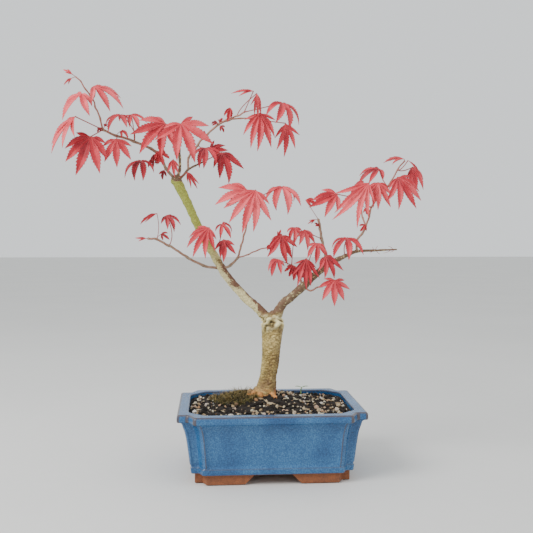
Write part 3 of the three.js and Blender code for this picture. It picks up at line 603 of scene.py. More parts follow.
# Across the rim: share of the way in, drop below the top, and how thin the glaze is.
rimProfile = [(0.12, -0.02, 0.0), (0.35, -0.05, 0.0), (0.6, -0.05, 0.0), (0.85, -0.02, 0.0),
              (0.95, 0.15, 0.5), (1.0, 0.6, 0.9)]


# Share of the flare left behind at a height: one part curls in below the lip as
# 1 - (1 - down) ** 8 and the rest tapers evenly down to the foot.
def flareShare(z):
    down = np.clip((lipBottom - z) / (lipBottom - pot["footHeight"]), 0, 1)
    return pot["curlShare"] * (1 - (1 - down) ** 8) + (1 - pot["curlShare"]) * down


# The corner steps shrink in step with the flare.
def notchShare(z):
    return 1 - (1 - pot["notchBaseShare"]) * flareShare(z)


# Half the length and half the depth of the outside at a height.
def outsideHalf(z, proud=0.0):
    share = flareShare(z)
    length = pot["rimLength"] / 2 - pot["lipStep"] - (pot["flareLength"] - pot["lipStep"]) * share
    depth = pot["rimDepth"] / 2 - pot["lipStep"] - (pot["flareDepth"] - pot["lipStep"]) * share
    return length + proud, depth + proud


# The outline with a step let into each corner.
def steppedCorners(length, depth, share=1.0):
    x, y = share * pot["notchLength"], share * pot["notchDepth"]
    slant = share * pot["notchSlant"]
    quarter = [[length - x, -depth], [length - x + slant, y - depth], [length, y - depth]]
    right = quarter + [[px, -py] for px, py in reversed(quarter)]
    return np.array(right + [[-px, -py] for px, py in right], float)


# The outline with each corner cut off at a slant.
def cutCorners(length, depth, cut):
    right = [[length - cut, -depth], [length, cut - depth],
             [length, depth - cut], [length - cut, depth]]
    return np.array(right + [[-px, -py] for px, py in right], float)


edgeSpots = np.array([0.4, 0.8, 1.2, 1.7, 2.3, 3.0, 4.0, 5.2])  # from a corner's round, in mm
cornerPoints = 5


# An outline as points: on each straight side they crowd towards its two ends, and each corner is
# the curve (1-t)^2 a + 2t(1-t) corner + t^2 b between points a small way to either side of it.
# Beside each point come its distance from the nearer corner and the length of its side.
def roundedOutline(corners, radius):
    after = np.roll(corners, -1, 0)
    length = np.linalg.norm(after - corners, axis=1)
    along = (after - corners) / length[:, None]
    reach = np.minimum(radius, length * 0.3)
    middle = np.linspace(0, 1, 19)[1:-1]
    start, end = reach[:, None], (length - reach)[:, None]
    room = edgeSpots[None, :] * np.minimum(1, 0.4 * (end - start) / edgeSpots[-1])
    inner = start + room[:, -1:] + (end - start - 2 * room[:, -1:]) * middle[None, :]
    spots = np.concatenate([start, start + room, inner, (end - room)[:, ::-1], end], 1)
    straight = corners[:, None, :] + along[:, None, :] * spots[..., None]
    near = np.minimum(spots - start, end - spots)
    t = (np.arange(1, cornerPoints + 1) / (cornerPoints + 1))[None, :, None]
    a, b = straight[:, -1:, :], np.roll(straight, -1, 0)[:, :1, :]
    turn = (1 - t) ** 2 * a + 2 * t * (1 - t) * after[:, None, :] + t**2 * b
    points = np.concatenate([straight, turn], 1).reshape(-1, 2)
    near = np.concatenate([near, np.zeros((len(corners), cornerPoints))], 1).ravel()
    side = np.repeat(length, spots.shape[1] + cornerPoints)
    return points, near, side


# 0 well below a level and 1 well above it: 1 / (1 + exp(-(value - level) * steepness)).
def sigmoid(value, level, steepness):
    return 1 / (1 + np.exp(-(value - level) * steepness))


# The wall's relief at a height: a raised rib runs up beside each corner of a long panel, and the
# panel between the ribs lies a little back below the lip and above the bottom band. The walls of
# the corner steps lie back by stepBack.
def reliefAt(near, side, z):
    stepBack = 0.35
    rib = pot["ribHeight"] * np.exp(-((near - pot["ribPlace"]) / pot["ribWidth"]) ** 2)
    inset = sigmoid(near, 3.4, 1.8)
    upright = sigmoid(z, bandTop + 1.2, 2.0) * sigmoid(-z, 4.5 - lipBottom, 1.2)
    return np.where(side > longSide, rib - pot["panelDepth"] * inset, -stepBack) * upright


# Height and how proud of the wall: the bottom band with rounded edges, the wall, and the hollow
# that runs out into the lip.
def wallProfile():
    foot, proud = pot["footHeight"], pot["bandStep"]
    band = [(foot, proud - 1.6), (foot + 0.3, proud - 0.7), (foot + 0.9, proud - 0.1),
            (foot + 1.6, proud), (foot + 3.5, proud), (bandTop - 1.2, proud),
            (bandTop - 0.5, proud - 0.15), (bandTop + 0.1, proud - 0.7), (bandTop + 0.7, 0.0)]
    wall = [(z, 0.0) for z in np.linspace(bandTop + 1.6, lipBottom - 12, 26)]
    curl = [(z, 0.0) for z in np.linspace(lipBottom - 11, lipBottom - 3, 17)]
    return band + wall + curl + [(lipBottom - 2.2, 0.05), (lipBottom - 1.3, 0.4),
                                 (lipBottom - 0.6, 1.2)]


def atHeight(line, z):
    return np.column_stack([line, np.full(len(line), float(z))])


# Rings of the outside up to the lip. The mark "breaking" is where the glaze runs thin: on the
# crest of a rib, on the band's upper edge and along the foot.
def wallRings():
    foot = pot["footHeight"]
    rings, breaking = [], []
    for z, proud in wallProfile():
        corners = steppedCorners(*outsideHalf(z, proud), notchShare(z))
        line, near, side = roundedOutline(corners, pot["cornerRound"])
        before, after = np.roll(line, 1, 0), np.roll(line, -1, 0)
        out = unit(np.stack([after[:, 1] - before[:, 1], before[:, 0] - after[:, 0]], -1))
        rings.append(atHeight(line + out * reliefAt(near, side, z)[:, None], z))
        crest = np.exp(-((near - pot["ribPlace"]) / 0.5) ** 2) * (side > longSide)
        crest = crest * (bandTop < z < lipBottom - 1)
        edge = math.exp(-((z - bandTop + 0.4) / 0.5) ** 2) * 0.5 + 0.9 * (z < foot + 0.8)
        breaking.append(np.maximum(crest, edge))
    return rings, breaking


def lipRings():
    rings, breaking = [], []
    for rise, proud, thin in lipProfile:
        inset = proud - pot["lipStep"]
        corners = steppedCorners(pot["rimLength"] / 2 + inset, pot["rimDepth"] / 2 + inset)
        line, near, _ = roundedOutline(corners, pot["cornerRound"])
        rings.append(atHeight(line, lipBottom + rise))
        corner = 0.9 * np.exp(-(near / 0.7) ** 2) * (rise < 7)
        breaking.append(np.maximum(thin, corner))
    return rings, breaking


# Rings from the rim down the inside to the floor. Each point of the outer line has its partner on
# the inner line at the same turn, and a ring of the rim is a mix of the two lines.
def insideRings(outer):
    top, floorTop = pot["height"], pot["footHeight"] + pot["floor"]
    mouth = (pot["rimLength"] / 2 - pot["rimWidth"], pot["rimDepth"] / 2 - pot["rimWidth"])
    turns = np.arctan2(outer[:, 1] / mouth[1], outer[:, 0] / mouth[0])

    def innerLine(length, depth):
        cut = pot["notchDepth"] + pot["insideCut"]
        dense, _, _ = roundedOutline(cutCorners(length, depth, cut), pot["insideRound"])
        turn = np.arctan2(dense[:, 1] / mouth[1], dense[:, 0] / mouth[0])
        order = np.argsort(turn)
        wrapped = (turn[order] + np.array([[-2], [0], [2]]) * np.pi).ravel()
        return np.column_stack([np.interp(turns, wrapped, np.tile(dense[order, i], 3))
                                for i in range(2)])

    rings, breaking = [], []
    rim = innerLine(*mouth)
    for share, drop, thin in rimProfile:
        rings.append(atHeight(outer * (1 - share) + rim * share, top - drop))
        breaking.append(np.full(len(outer), thin))
    for z in [top - 1.3, top - 2.4, top - 5, lipBottom, 62, 58, 53, 47, 40, 30,
              floorTop + 2, floorTop + 0.6, floorTop]:
        rounding = 1.4 if z == floorTop else 0
        length, depth = outsideHalf(z)
        length = min(length - pot["wall"], mouth[0]) - rounding
        depth = min(depth - pot["wall"], mouth[1]) - rounding
        rings.append(atHeight(innerLine(length, depth), z))
        breaking.append(np.full(len(outer), 0.5 if z > top - 2 else 0.0))
    return rings, breaking


def potBody():
    foot, floorTop = pot["footHeight"], pot["footHeight"] + pot["floor"]
    rings, breaking = (wall + lip for wall, lip in zip(wallRings(), lipRings()))
    inside, insideBreaking = insideRings(rings[-1][:, :2])
    points, faces = lofted(np.array(rings + inside), [0, 0, foot], [0, 0, floorTop])
    bare = sigmoid(-points[:, 2], -foot - 0.7, 6)
    bare[-1] = 0
    thin = np.append(np.concatenate(breaking + insideBreaking), [0, 0])
    return shape(points, faces, breaking=thin, bare=bare)


# A corner foot: a bar of rectangular section carried round the corner, with rounded edges and
# ends that slope under the arches. It is made once and mirrored to the four corners.
def potFoot(signX, signY):
    length, depth = outsideHalf(pot["footHeight"])

    # The foot's line round the corner, from the front arch to the side arch, in short steps.
    def footLine(inset):
        corner = steppedCorners(length - inset, depth - inset, pot["notchBaseShare"])[:3]
        start, end = [pot["frontArch"] / 2, corner[0, 1]], [corner[2, 0], -pot["sideArch"] / 2]
        line = np.concatenate([[start], corner, [end]])
        cuts = np.linspace(0, 1, 9)[:-1, None]
        steps = [line[i] + (line[i + 1] - line[i]) * cuts for i in range(4)]
        return np.concatenate(steps + [line[-1:]])

    outer = footLine(pot["footInset"])
    inner = footLine(pot["footInset"] + pot["footWidth"])
    high, lean = pot["footHeight"] + 0.4, pot["archSlope"] / pot["footHeight"]
    section = [(0.0, 0.6), (0.0, high), (1.0, high), (1.0, 0.6), (0.94, 0.0), (0.06, 0.0)]
    rings = np.stack([atHeight(outer * (1 - share) + inner * share, z) for share, z in section], 1)
    startFade = np.clip(1 - np.arange(len(rings)) / 8, 0, 1)[:, None]
    rings[..., 0] -= startFade * lean * rings[..., 2]
    rings[..., 1] += startFade[::-1] * lean * rings[..., 2]
    points, faces = lofted(rings, rings[0].mean(0), rings[-1].mean(0))
    if signX * signY < 0:
        faces = faces[:, ::-1]
    return shape(points * [signX, signY, 1], faces, bare=1.0)


def cutDrainHoles(body):
    cutters = []
    for x in (-pot["drainSpacing"] / 2, pot["drainSpacing"] / 2):
        path = np.array([[x, 0, -20.0], [x, 0, 0.0], [x, 0, 40.0]])
        radii = np.full(3, pot["drainDiameter"] / 2)
        cutter = objectFrom("drainCutter", tube(path, radii, 32, 0.0))
        hole = body.modifiers.new("drainHole", "BOOLEAN")
        hole.object = cutter
        hole.operation = "DIFFERENCE"
        hole.solver = "EXACT"
        cutters.append(cutter)
    finished = bpy.data.meshes.new_from_object(
        body.evaluated_get(bpy.context.evaluated_depsgraph_get()))
    body.modifiers.clear()
    body.data = finished
    for cutter in cutters:
        discard(cutter)


# Turns a shape's triangles round if the volume that they enclose comes out below nothing.
def faceOutwards(made):
    a, b, c = (made["points"][made["faces"][:, i]] for i in range(3))
    if np.einsum("ij,ij->i", a, np.cross(b, c)).sum() < 0:
        made["faces"] = made["faces"][:, ::-1]
    return made


feet = [faceOutwards(potFoot(x, y)) for x in (-1, 1) for y in (-1, 1)]
potPiece = objectFrom("glazedPot", faceOutwards(potBody()))
cutDrainHoles(potPiece)
dress(potPiece, ["pot"], finishes["pot"])
feetPiece = objectFrom("potFeet", merged(feet), smooth=False)
dress(feetPiece, ["pot"], finishes["pot"])
print("pot made")

soil = {
    "drop": 5, "mound": 11, "moundReach": 45, "trunkAt": (-5, 18), "clearAt": (-3, 17),
    "foot": 21, "clearance": 0.3,
    "crumb": 0.9, "lump": 1.0, "grains": 1500, "grainSize": (0.8, 2.7), "paleShare": 0.34,
    "chips": 110, "chipSize": (0.8, 2.0), "chipHues": (0.16, 0.24, 0.5, 0.62),
    "longChip": 3.2, "longChipAt": (-1, -17), "longChipHue": 0.56,
}


def awayFrom(spot, x, y):
    return np.hypot(x - spot[0], y - spot[1])


# Height of the soil: level near the rim, with a mound that falls off as exp(-(distance/reach)^2).
def soilTop(x, y):
    away = awayFrom(soil["trunkAt"], x, y) / soil["moundReach"]
    return pot["height"] - soil["drop"] + soil["mound"] * np.exp(-(away ** 2))


# The soil as one body: rings of the pot's inside, then rings that close in over the mound.
def soilBulk():
    length, depth = outsideHalf(pot["height"] - soil["drop"])
    mouth = (pot["rimLength"] / 2 - pot["rimWidth"], pot["rimDepth"] / 2 - pot["rimWidth"])
    length = min(length - pot["wall"], mouth[0]) - soil["clearance"]
    depth = min(depth - pot["wall"], mouth[1]) - soil["clearance"]
    corners = cutCorners(length, depth, pot["notchDepth"] + pot["insideCut"])
    edge, _, _ = roundedOutline(corners, 4.0)
    centre = np.array(soil["trunkAt"], float)
    rings = [atHeight(edge * (1 - inset / length), z)
             for z, inset in [(soil["foot"], 13.0), (40, 6.5), (58, 1.2)]]
    for share in np.linspace(1, 0.02, 70):
        flat = centre + (edge - centre) * share
        bumps = soil["crumb"] * ripples(atHeight(flat, 0), 4.0, 3)
        bumps += soil["lump"] * ripples(atHeight(flat, 0), 14.0, 4)
        height = soilTop(flat[:, 0], flat[:, 1]) - 0.4 + 0.6 * bumps
        rings.append(np.column_stack([flat, height]))
    foot, crown = [0, 0, soil["foot"]], [*centre, soilTop(*centre)]
    points, faces = lofted(np.array(rings), foot, crown)
    return shape(points, faces, grain=0.0, hue=0.1)


icosahedron = {
    "points": unit(np.array([(0, s, t * 1.618) for s in (-1, 1) for t in (-1, 1)]
                            + [(s, t * 1.618, 0) for s in (-1, 1) for t in (-1, 1)]
                            + [(t * 1.618, 0, s) for s in (-1, 1) for t in (-1, 1)], float)),
}


# Three corners of a ball form a face when every other corner lies on one side of them.
def convexFaces(points):
    corners = range(len(points))
    index = np.array([(a, b, c) for a in corners for b in corners[a + 1:] for c in corners[b + 1:]])
    p, q, r = (points[index[:, i]] for i in range(3))
    normal = np.cross(q - p, r - p)
    height = np.einsum("ij,kj->ik", normal, points) - np.einsum("ij,ij->i", normal, p)[:, None]
    outer = (height < 1e-6).all(1) | (height > -1e-6).all(1)
    faces = index[outer]
    flip = np.einsum("ij,ij->i", normal[outer], p[outer]) < 0
    faces[flip] = faces[flip][:, ::-1]
    return faces


icosahedron["faces"] = convexFaces(icosahedron["points"])


# Grains: each is the same twelve-cornered lump with its corners moved, stretched three ways,
# turned at random and set at its own place.
def lumps(places, sizes, hues, seed, stretch=0.45, **marks):
    random = np.random.default_rng(seed)
    count = len(places)
    base = icosahedron["points"][None] * random.uniform(0.72, 1.25, (count, 12, 1))
    base = base * random.uniform(1 - stretch, 1 + stretch, (count, 1, 3)) * sizes[:, None, None]
    turn, _ = np.linalg.qr(random.normal(size=(count, 3, 3)))
    turn[:, :, 0] *= np.sign(np.linalg.det(turn))[:, None]
    points = np.einsum("nij,nkj->nki", turn, base) + places[:, None, :]
    faces = icosahedron["faces"][None] + 12 * np.arange(count)[:, None, None]
    return shape(points.reshape(-1, 3), faces.reshape(-1, 3), hue=np.repeat(hues, 12), **marks)


# True for places that lie in the pot's mouth by at least the margin.
def insideSoil(x, y, margin):
    length = pot["rimLength"] / 2 - pot["rimWidth"] - margin
    depth = pot["rimDepth"] / 2 - pot["rimWidth"] - margin
    cut = pot["notchDepth"] + pot["insideCut"]
    return (abs(x) < length) & (abs(y) < depth) & (abs(x) + abs(y) < length + depth - cut)


def soilGrains():
    random = np.random.default_rng(11)
    least, most = soil["grainSize"]
    x = random.uniform(-88, 88, 6 * soil["grains"])
    y = random.uniform(-63, 63, 6 * soil["grains"])
    size = random.uniform(0, 1, len(x)) ** 2.2 * (most - least) + least
    keep = insideSoil(x, y, size + 0.5) & (awayFrom(soil["clearAt"], x, y) > 13)
    x, y, size = (v[keep][: soil["grains"]] for v in (x, y, size))
    pale = random.uniform(size=len(x)) < soil["paleShare"]
    hue = np.where(pale, random.uniform(0.42, 1.0, len(x)), random.uniform(0.0, 0.3, len(x)))
    sunk = size * random.uniform(-0.25, 0.4, len(x))
    return lumps(np.column_stack([x, y, soilTop(x, y) + sunk]), size, hue, 12, grain=1.0)


# Bark chips: lumps drawn out by 1.9 along their heading and flattened to 0.45, on the soil. The
# last one is the long chip.
def barkChips():
    random = np.random.default_rng(21)
    x, y = random.uniform(-80, 80, 260), random.uniform(-55, 55, 260)
    keep = insideSoil(x, y, 4) & (awayFrom(soil["clearAt"], x, y) > 15)
    x, y = (np.append(v[keep][: soil["chips"]], last)
            for v, last in zip((x, y), soil["longChipAt"]))
    count = len(x) - 1
    size = np.append(random.uniform(*soil["chipSize"], count), soil["longChip"])
    hue = np.append(random.choice(soil["chipHues"], count), soil["longChipHue"])
    chips = lumps(np.column_stack([x, y, soilTop(x, y) + 0.6]), size, hue, 22, grain=1.0)
    centre = np.repeat(np.column_stack([x, y, soilTop(x, y) + 0.9]), 12, 0)
    heading = np.repeat(np.append(random.uniform(0, np.pi, count), -0.2), 12)
    away = chips["points"] - centre
    ahead = np.column_stack([np.cos(heading), np.sin(heading), np.zeros(len(heading))])
    away += ahead * np.einsum("ij,ij->i", away, ahead)[:, None] * 0.9
    away[:, 2] *= 0.45
    chips["points"] = centre + away
    return chips


soilPiece = objectFrom("pottingSoil", merged([soilBulk(), soilGrains(), barkChips()]), smooth=False)
dress(soilPiece, ["soil"], finishes["soil"])
print("soil made")

moss = {
    "length": 62, "depth": 56, "thickness": 4.6, "at": (-33, 18),
    "clearAt": (-4, 17), "clearOfTrunk": 12, "thinning": 20,
    "fibres": 5200, "fibreLength": (1.0, 3.6), "fibreRadius": 0.17, "fibreLean": 1.6,
    "straws": 800, "strawLength": (3, 10), "strawRadius": 0.24, "strawLean": 2.4,
}


# Edge of the moss: an oval whose reach swings by 1 + 0.12 sin 3a + 0.07 cos 5a.
def mossReach(angle):
    return 1 + 0.12 * np.sin(3 * angle) + 0.07 * np.cos(5 * angle)


# Height of the moss: over the soil by thickness * (1 - share^2)^0.7, with share the way from its
# middle to its edge, and thinner towards the trunk.
def mossTop(x, y):
    dx = (x - moss["at"][0]) / (moss["length"] / 2)
    dy = (y - moss["at"][1]) / (moss["depth"] / 2)
    share = np.clip(np.hypot(dx, dy) / mossReach(np.arctan2(dy, dx)), 0, 1)
    fromTrunk = awayFrom(soil["trunkAt"], x, y)
    thinning = np.clip((fromTrunk - moss["clearOfTrunk"]) / moss["thinning"], 0.12, 1)
    return soilTop(x, y) + moss["thickness"] * (1 - share**2) ** 0.7 * thinning


# Places on the moss at an angle and a share of the way from its middle to its edge.
def onMoss(angle, share):
    reach = share * mossReach(angle)
    x = moss["at"][0] + moss["length"] / 2 * reach * np.cos(angle)
    y = moss["at"][1] + moss["depth"] / 2 * reach * np.sin(angle)
    return x, y


def mossCushion():
    angle = np.linspace(0, 2 * np.pi, 120, endpoint=False)
    rings = []
    for share in [0.9, *np.linspace(1.0, 0.02, 44)]:
        x, y = onMoss(angle, share)
        flat = np.column_stack([x, y, np.zeros(len(angle))])
        z = mossTop(x, y) + 0.8 * ripples(flat, 7.0, 31) + 0.4 * ripples(flat, 2.4, 32)
        rings.append(np.column_stack([x, y, soilTop(x, y) - 4 if not rings else z]))
    x, y = moss["at"]
    points, faces = lofted(np.array(rings), [x, y, soilTop(x, y) - 4], [x, y, mossTop(x, y)])
    hue = np.clip(0.3 + 0.16 * ripples(points, 9.0, 33), 0, 1)
    return shape(points, faces, hue=hue)


# Fibres: each is a three-sided thread of three rings and a tip, bent over as the square of its
# share of length.
def fibres(roots, length, radius, lean, hue, seed):
    random = np.random.default_rng(seed)
    count = len(roots)
    heading = random.uniform(0, 2 * np.pi, count)
    bend = random.uniform(0.1, 1.0, count) * lean
    share = np.array([0.0, 0.35, 0.7, 1.0])[None, :, None]
    flat = np.stack([np.cos(heading), np.sin(heading), np.zeros(count)], -1)[:, None, :]
    rise = np.array([0.0, 0.0, 1.0])
    long = length[:, None, None]
    path = roots[:, None, :] + long * (share * (1 - 0.35 * bend[:, None, None] * share) * rise
                                       + bend[:, None, None] * share**2 * flat)
    turn = 2 * np.pi * np.arange(3) / 3
    ring = np.stack([np.cos(turn), np.sin(turn), np.zeros(3)], -1)[None, None]
    thin = radius * np.array([1.0, 0.85, 0.6])[None, :, None, None]
    rings = path[:, :3, None, :] + thin * ring
    tip, foot = path[:, 3:4], path[:, :1] - [0, 0, radius]
    points = np.concatenate([rings.reshape(count, 9, 3), tip, foot], 1)
    around = np.arange(3)
    after = (around + 1) % 3
    faces = np.concatenate([
        gridFaces(3, 3),
        np.stack([6 + around, 6 + after, np.full(3, 9)], -1),
        np.stack([after, around, np.full(3, 10)], -1),
    ])
    faces = faces[None] + 11 * np.arange(count)[:, None, None]
    return shape(points.reshape(-1, 3), faces.reshape(-1, 3), hue=np.repeat(hue, 11))


def mossFibres():
    random = np.random.default_rng(41)
    count = moss["fibres"]
    angle = random.uniform(0, 2 * np.pi, count)
    x, y = onMoss(angle, np.sqrt(random.uniform(0, 1.08, count)))
    keep = insideSoil(x, y, 1.5) & (awayFrom(moss["clearAt"], x, y) > 10.5)
    x, y = x[keep], y[keep]
    roots = np.column_stack([x, y, mossTop(x, y) - 0.4])
    hue = np.clip(0.38 + 0.2 * ripples(roots, 12.0, 42) + random.normal(0, 0.14, len(x)), 0, 1)
    length = random.uniform(*moss["fibreLength"], len(x))
    tufts = fibres(roots, length, moss["fibreRadius"], moss["fibreLean"], hue, 43)
    pick = random.choice(len(x), moss["straws"], replace=False)
    length = random.uniform(*moss["strawLength"], len(pick))
    strawHue = random.uniform(0.6, 1.1, len(pick))
    straws = fibres(roots[pick], length, moss["strawRadius"], moss["strawLean"], strawHue, 44)
    return merged([tufts, straws])


mossPiece = objectFrom("mossCushion", merged([mossCushion(), mossFibres()]))
dress(mossPiece, ["moss"], finishes["moss"])
print("moss made")

wood = {
    "trunkFoot": (-5, 18, 73), "trunkHeight": 94, "trunkDiameter": 20, "forkLean": (9, -6),
    "limbDiameter": 9.6, "shootDiameter": 3.0, "voxel": 0.62,
    "barkDepth": 0.2, "bulgeDepth": 0.6, "limbDepth": 0.22, "callusDepth": 1.4,
    "limbFrom": 97, "callusAt": 90, "callusReach": 9,
}
trunkFoot = np.array(wood["trunkFoot"], float)
fork = trunkFoot + [*wood["forkLean"], wood["trunkHeight"]]


# A line's points: its start, and the start plus each step.
def stepped(start, steps):
    return np.concatenate([[start], np.asarray(steps, float) + start])


leftLimb = stepped(fork + [-3, 0, -4], [
    [-13, 2, 14], [-25, 5, 24], [-43, 8, 44], [-53, 9, 58], [-64, 8, 78],
    [-74, 5, 94], [-84, 0, 116], [-94, -5, 138], [-103, -9, 156]])
rightLimb = stepped(fork + [3, 0, -2], [
    [9, -2, 16], [18, -5, 24], [31, -10, 36], [41, -15, 47], [54, -20, 58],
    [66, -25, 66], [76, -29, 71], [88, -32, 76], [106, -36, 77], [130, -39, 78]])
limbRadius = wood["limbDiameter"] / 2
leftRadii = limbRadius * np.array([
    1.2, 1.12, 1.06, 1.02, 1, 0.96, 0.93, 0.93, 1.02, 1.25])
rightRadii = limbRadius * np.array([
    1.2, 1.04, 0.98, 0.96, 0.84, 0.74, 0.62, 0.46, 0.36, 0.27, 0.18])
stub = leftLimb[-1]
uprightTwig = stepped(stub, [[4, -4, 12], [4, -10, 30], [4, -16, 40]])
backTwig = stepped(stub, [[7, 2, 5], [13, 10, 13], [22, 20, 19], [30, 29, 24]])
wooden = {
    "leftLimb": {"points": leftLimb, "radii": leftRadii},
    "rightLimb": {"points": rightLimb, "radii": rightRadii},
    "uprightTwig": {"points": uprightTwig, "radii": np.linspace(1.9, 1.15, 4)},
    "backTwig": {"points": backTwig, "radii": np.linspace(1.75, 1.0, 5)},
}
# The trunk: share of its height, shift to the right and back, and radius as a share.
trunkCourse = np.array([
    [-0.21, 0, 0, 0.9], [0.03, 0, 0, 1.35], [0.12, 3, -1, 1.15], [0.3, 6, -2, 0.94],
    [0.5, 8, -3, 0.98], [0.72, 10, -5, 1.1], [0.9, 10, -6, 1.26], [1.03, 9, -6, 0.75]])
roots = [[195, 30], [250, 24], [308, 32], [20, 26], [75, 28], [135, 24]]  # heading and reach
# Swellings at the trunk's top and foot: place from the trunk's foot, and radius.
knobs = [
    [15, -12, 88, 4.2], [18, -9, 84, 4.0], [6, -14, 92, 3.6], [11, -14, 83, 3.2], [2, -8, 86, 4.6],
    [9, 3, 90, 5.0], [16, -3, 92, 4.4], [1, -3, 93, 4.4], [10, -8, 98, 3.6], [14, 2, 84, 4.4],
    [-11, -9, 7, 4.0], [-5, -13, 6, 3.8], [-15, -3, 8, 3.8], [-17, -8, 5, 3.0], [9, -8, 8, 3.8],
    [10, -11.5, 5.5, 3.4], [11.5, -15, 3.5, 3.2], [12.5, -17.5, 2, 2.8],
]


# A ball as a tube: its rings lie at radius * sin(turn) and are radius * cos(turn) wide.
def ball(centre, radius, sides=14):
    turn = np.linspace(-0.46 * np.pi, 0.46 * np.pi, 9)
    path = np.asarray(centre, float) + radius * np.sin(turn)[:, None] * [0, 0, 1]
    return tube(path, radius * np.cos(turn), sides, 0.6)


# Wood: the radius at each point of the smooth path is read between the given ones.
def limbTube(points, radii, sides, perSpan=8):
    path = smoothPath(points, perSpan)
    thickness = np.interp(np.arange(len(path)) / perSpan, np.arange(len(radii)), radii)
    return tube(path, thickness, sides)


# For each point, its distance from a path, the share of the way along and the place on the path.
def nearestOn(points, path):
    a, b = path[:-1], path[1:]
    step = b - a
    share = np.einsum("nsj,sj->ns", points[:, None, :] - a[None], step) / (step**2).sum(1)
    share = np.clip(share, 0, 1)
    foot = a[None] + share[..., None] * step[None]
    distance = np.linalg.norm(points[:, None, :] - foot, axis=2)
    best = distance.argmin(1)
    pick = np.arange(len(points))
    return distance[pick, best], (best + share[pick, best]) / len(a), foot[pick, best]


trunkLine = trunkFoot + trunkCourse[:, [1, 2, 0]] * [1, 1, wood["trunkHeight"]]


# A surface root: it leaves the trunk a little up, and dips into the soil at its reach.
def rootTube(heading, reach):
    out = np.array([math.cos(math.radians(heading)), math.sin(math.radians(heading)), 0])
    rise = np.array([0, 0, wood["trunkHeight"]])
    line = [trunkFoot + 0.1 * rise, trunkFoot + 0.02 * rise + 0.45 * reach * out,
            trunkFoot - 0.1 * rise + reach * out]
    return limbTube(line, [6, 4.6, 2.4], 16)


# Trunk, roots, knobs and limbs grown into one closed skin of even small faces.
def woodSkin():
    parts = [limbTube(trunkLine, trunkCourse[:, 3] * wood["trunkDiameter"] / 2, 36)]
    parts += [rootTube(heading, reach) for heading, reach in roots]
    parts += [ball(trunkFoot + [x, y, z], radius) for x, y, z, radius in knobs]
    parts += [limbTube(piece["points"], piece["radii"], 20) for piece in wooden.values()]
    parts += [ball(piece["points"][-1], max(piece["radii"][-1] * 1.05, 0.7))
              for piece in wooden.values()]
    rough = objectFrom("woodRough", merged(parts))
    remesh = rough.modifiers.new("oneSkin", "REMESH")
    remesh.mode = "VOXEL"
    remesh.voxel_size = wood["voxel"] * 0.001
    points, faces = evaluatedShape(rough)
    discard(rough)
    return points, faces


# The skin with its relief, a sum of ripples drawn out along the wood, deep at the callus and
# slight on the limbs and on thin twigs. Its marks say where each colour of the bark goes, and
# where painted shade darkens the trunk's right side and the hollows between the callus's lumps.
def grownWood():
    points, faces = woodSkin()
    normals = pointNormals(points, faces)
    trunkAway, _, _ = nearestOn(points, smoothPath(trunkLine, 6))
    near = {name: nearestOn(points, smoothPath(piece["points"], 3))
            for name, piece in wooden.items()}
    leftAway, leftShare, leftFoot = near["leftLimb"]
    rightAway, rightShare, _ = near["rightLimb"]
    twigAway = np.minimum(near["uprightTwig"][0], near["backTwig"][0])
    limbAway = np.minimum(np.minimum(leftAway, rightAway), twigAway)
    height = points[:, 2] - trunkFoot[2]
    onLimb = sigmoid(height - 1.5 * ripples(points, 8.0, 50), wood["limbFrom"], 0.9)
    atTop = np.exp(-((height - wood["callusAt"]) / wood["callusReach"]) ** 2) * (1 - onLimb)
    tall, flat = points * [1, 1, 0.35], points * [0.4, 0.4, 1]
    lumpy = ripples(points, 6.0, 53)
    fine = ripples(flat, 2.2, 51) + 0.5 * ripples(points, 2.0, 52)
    relief = wood["barkDepth"] * fine * (1 - 0.72 * onLimb)
    relief += wood["callusDepth"] * atTop * (lumpy - 0.2)
    relief += wood["bulgeDepth"] * (1 - onLimb) * ripples(tall, 10.0, 54)
    relief += wood["limbDepth"] * onLimb * ripples(points, 6.0, 55)
    thin = np.clip(np.minimum(limbAway, trunkAway) / 2.5, 0.15, 1)
    moved = points + normals * (relief * thin)[:, None]
    up = unit(points - leftFoot + 1e-6) @ np.array([0.75, 0.1, 0.65])
    isRight = (rightAway < leftAway) & (rightAway < twigAway)
    isTwig = (twigAway < leftAway) & (twigAway < rightAway)
    lowDown = np.exp(-(leftShare / 0.42) ** 2)
    rooted = np.clip(1.5 - (height - 2) / 8, 0, 1)
    return shape(
        moved, faces, limb=onLimb,
        upperSide=np.clip(0.5 + 0.5 * up, 0, 1) * (0.35 + 0.65 * lowDown),
        greener=np.where(isRight | isTwig, 0, np.clip((leftShare - 0.45) / 0.2, 0, 1)),
        greyer=np.where(isRight, np.clip(rightShare / 0.12, 0, 1), isTwig * 1.0),
        leftSide=np.clip(-normals[:, 0], 0, 1),
        # Painted shade: how far each point faces to the right, away from the light.
        rightSide=np.clip(normals[:, 0] + 0.1, 0, 1),
        root=rooted * np.clip(0.6 + 0.6 * ripples(points, 9.0, 56), 0, 1),
        callus=np.clip(atTop * (0.45 + 0.7 * lumpy), 0, 0.85),
        # Painted shade: the deepest dips of the callus's relief.
        hollow=np.clip(atTop * (-lumpy - 0.35) * 1.5, 0, 0.9),
    )


woodPiece = objectFrom("trunkAndLimbs", grownWood())
dress(woodPiece, ["trunk_and_limbs"], finishes["bark"])
print("wood made")

leaf = {
    "lobe": 43, "thickness": 0.3, "fold": 0.6, "foldedFold": 2.4, "breadth": 0.118, "room": 0.46,
    "notch": 0.2, "teeth": 10, "foldedTeeth": 4, "baseRows": 4, "petiole": 0.55,
    "ripple": 0.16, "rippleLength": 2.5, "sway": 0.12,
    # lobeTone is each lobe's random tone; the last paints light on one half of each lobe and shade
    # on the other.
    "unevenBend": 0.45, "unevenTurn": 0.16, "lobeTone": 0.16, "paintedFoldShading": 0.14,
}
lobeShares = {
    3: [0.7, 1, 0.7],
    5: [0.55, 0.85, 1, 0.85, 0.55],
    7: [0.42, 0.72, 0.92, 1, 0.92, 0.72, 0.42],
}
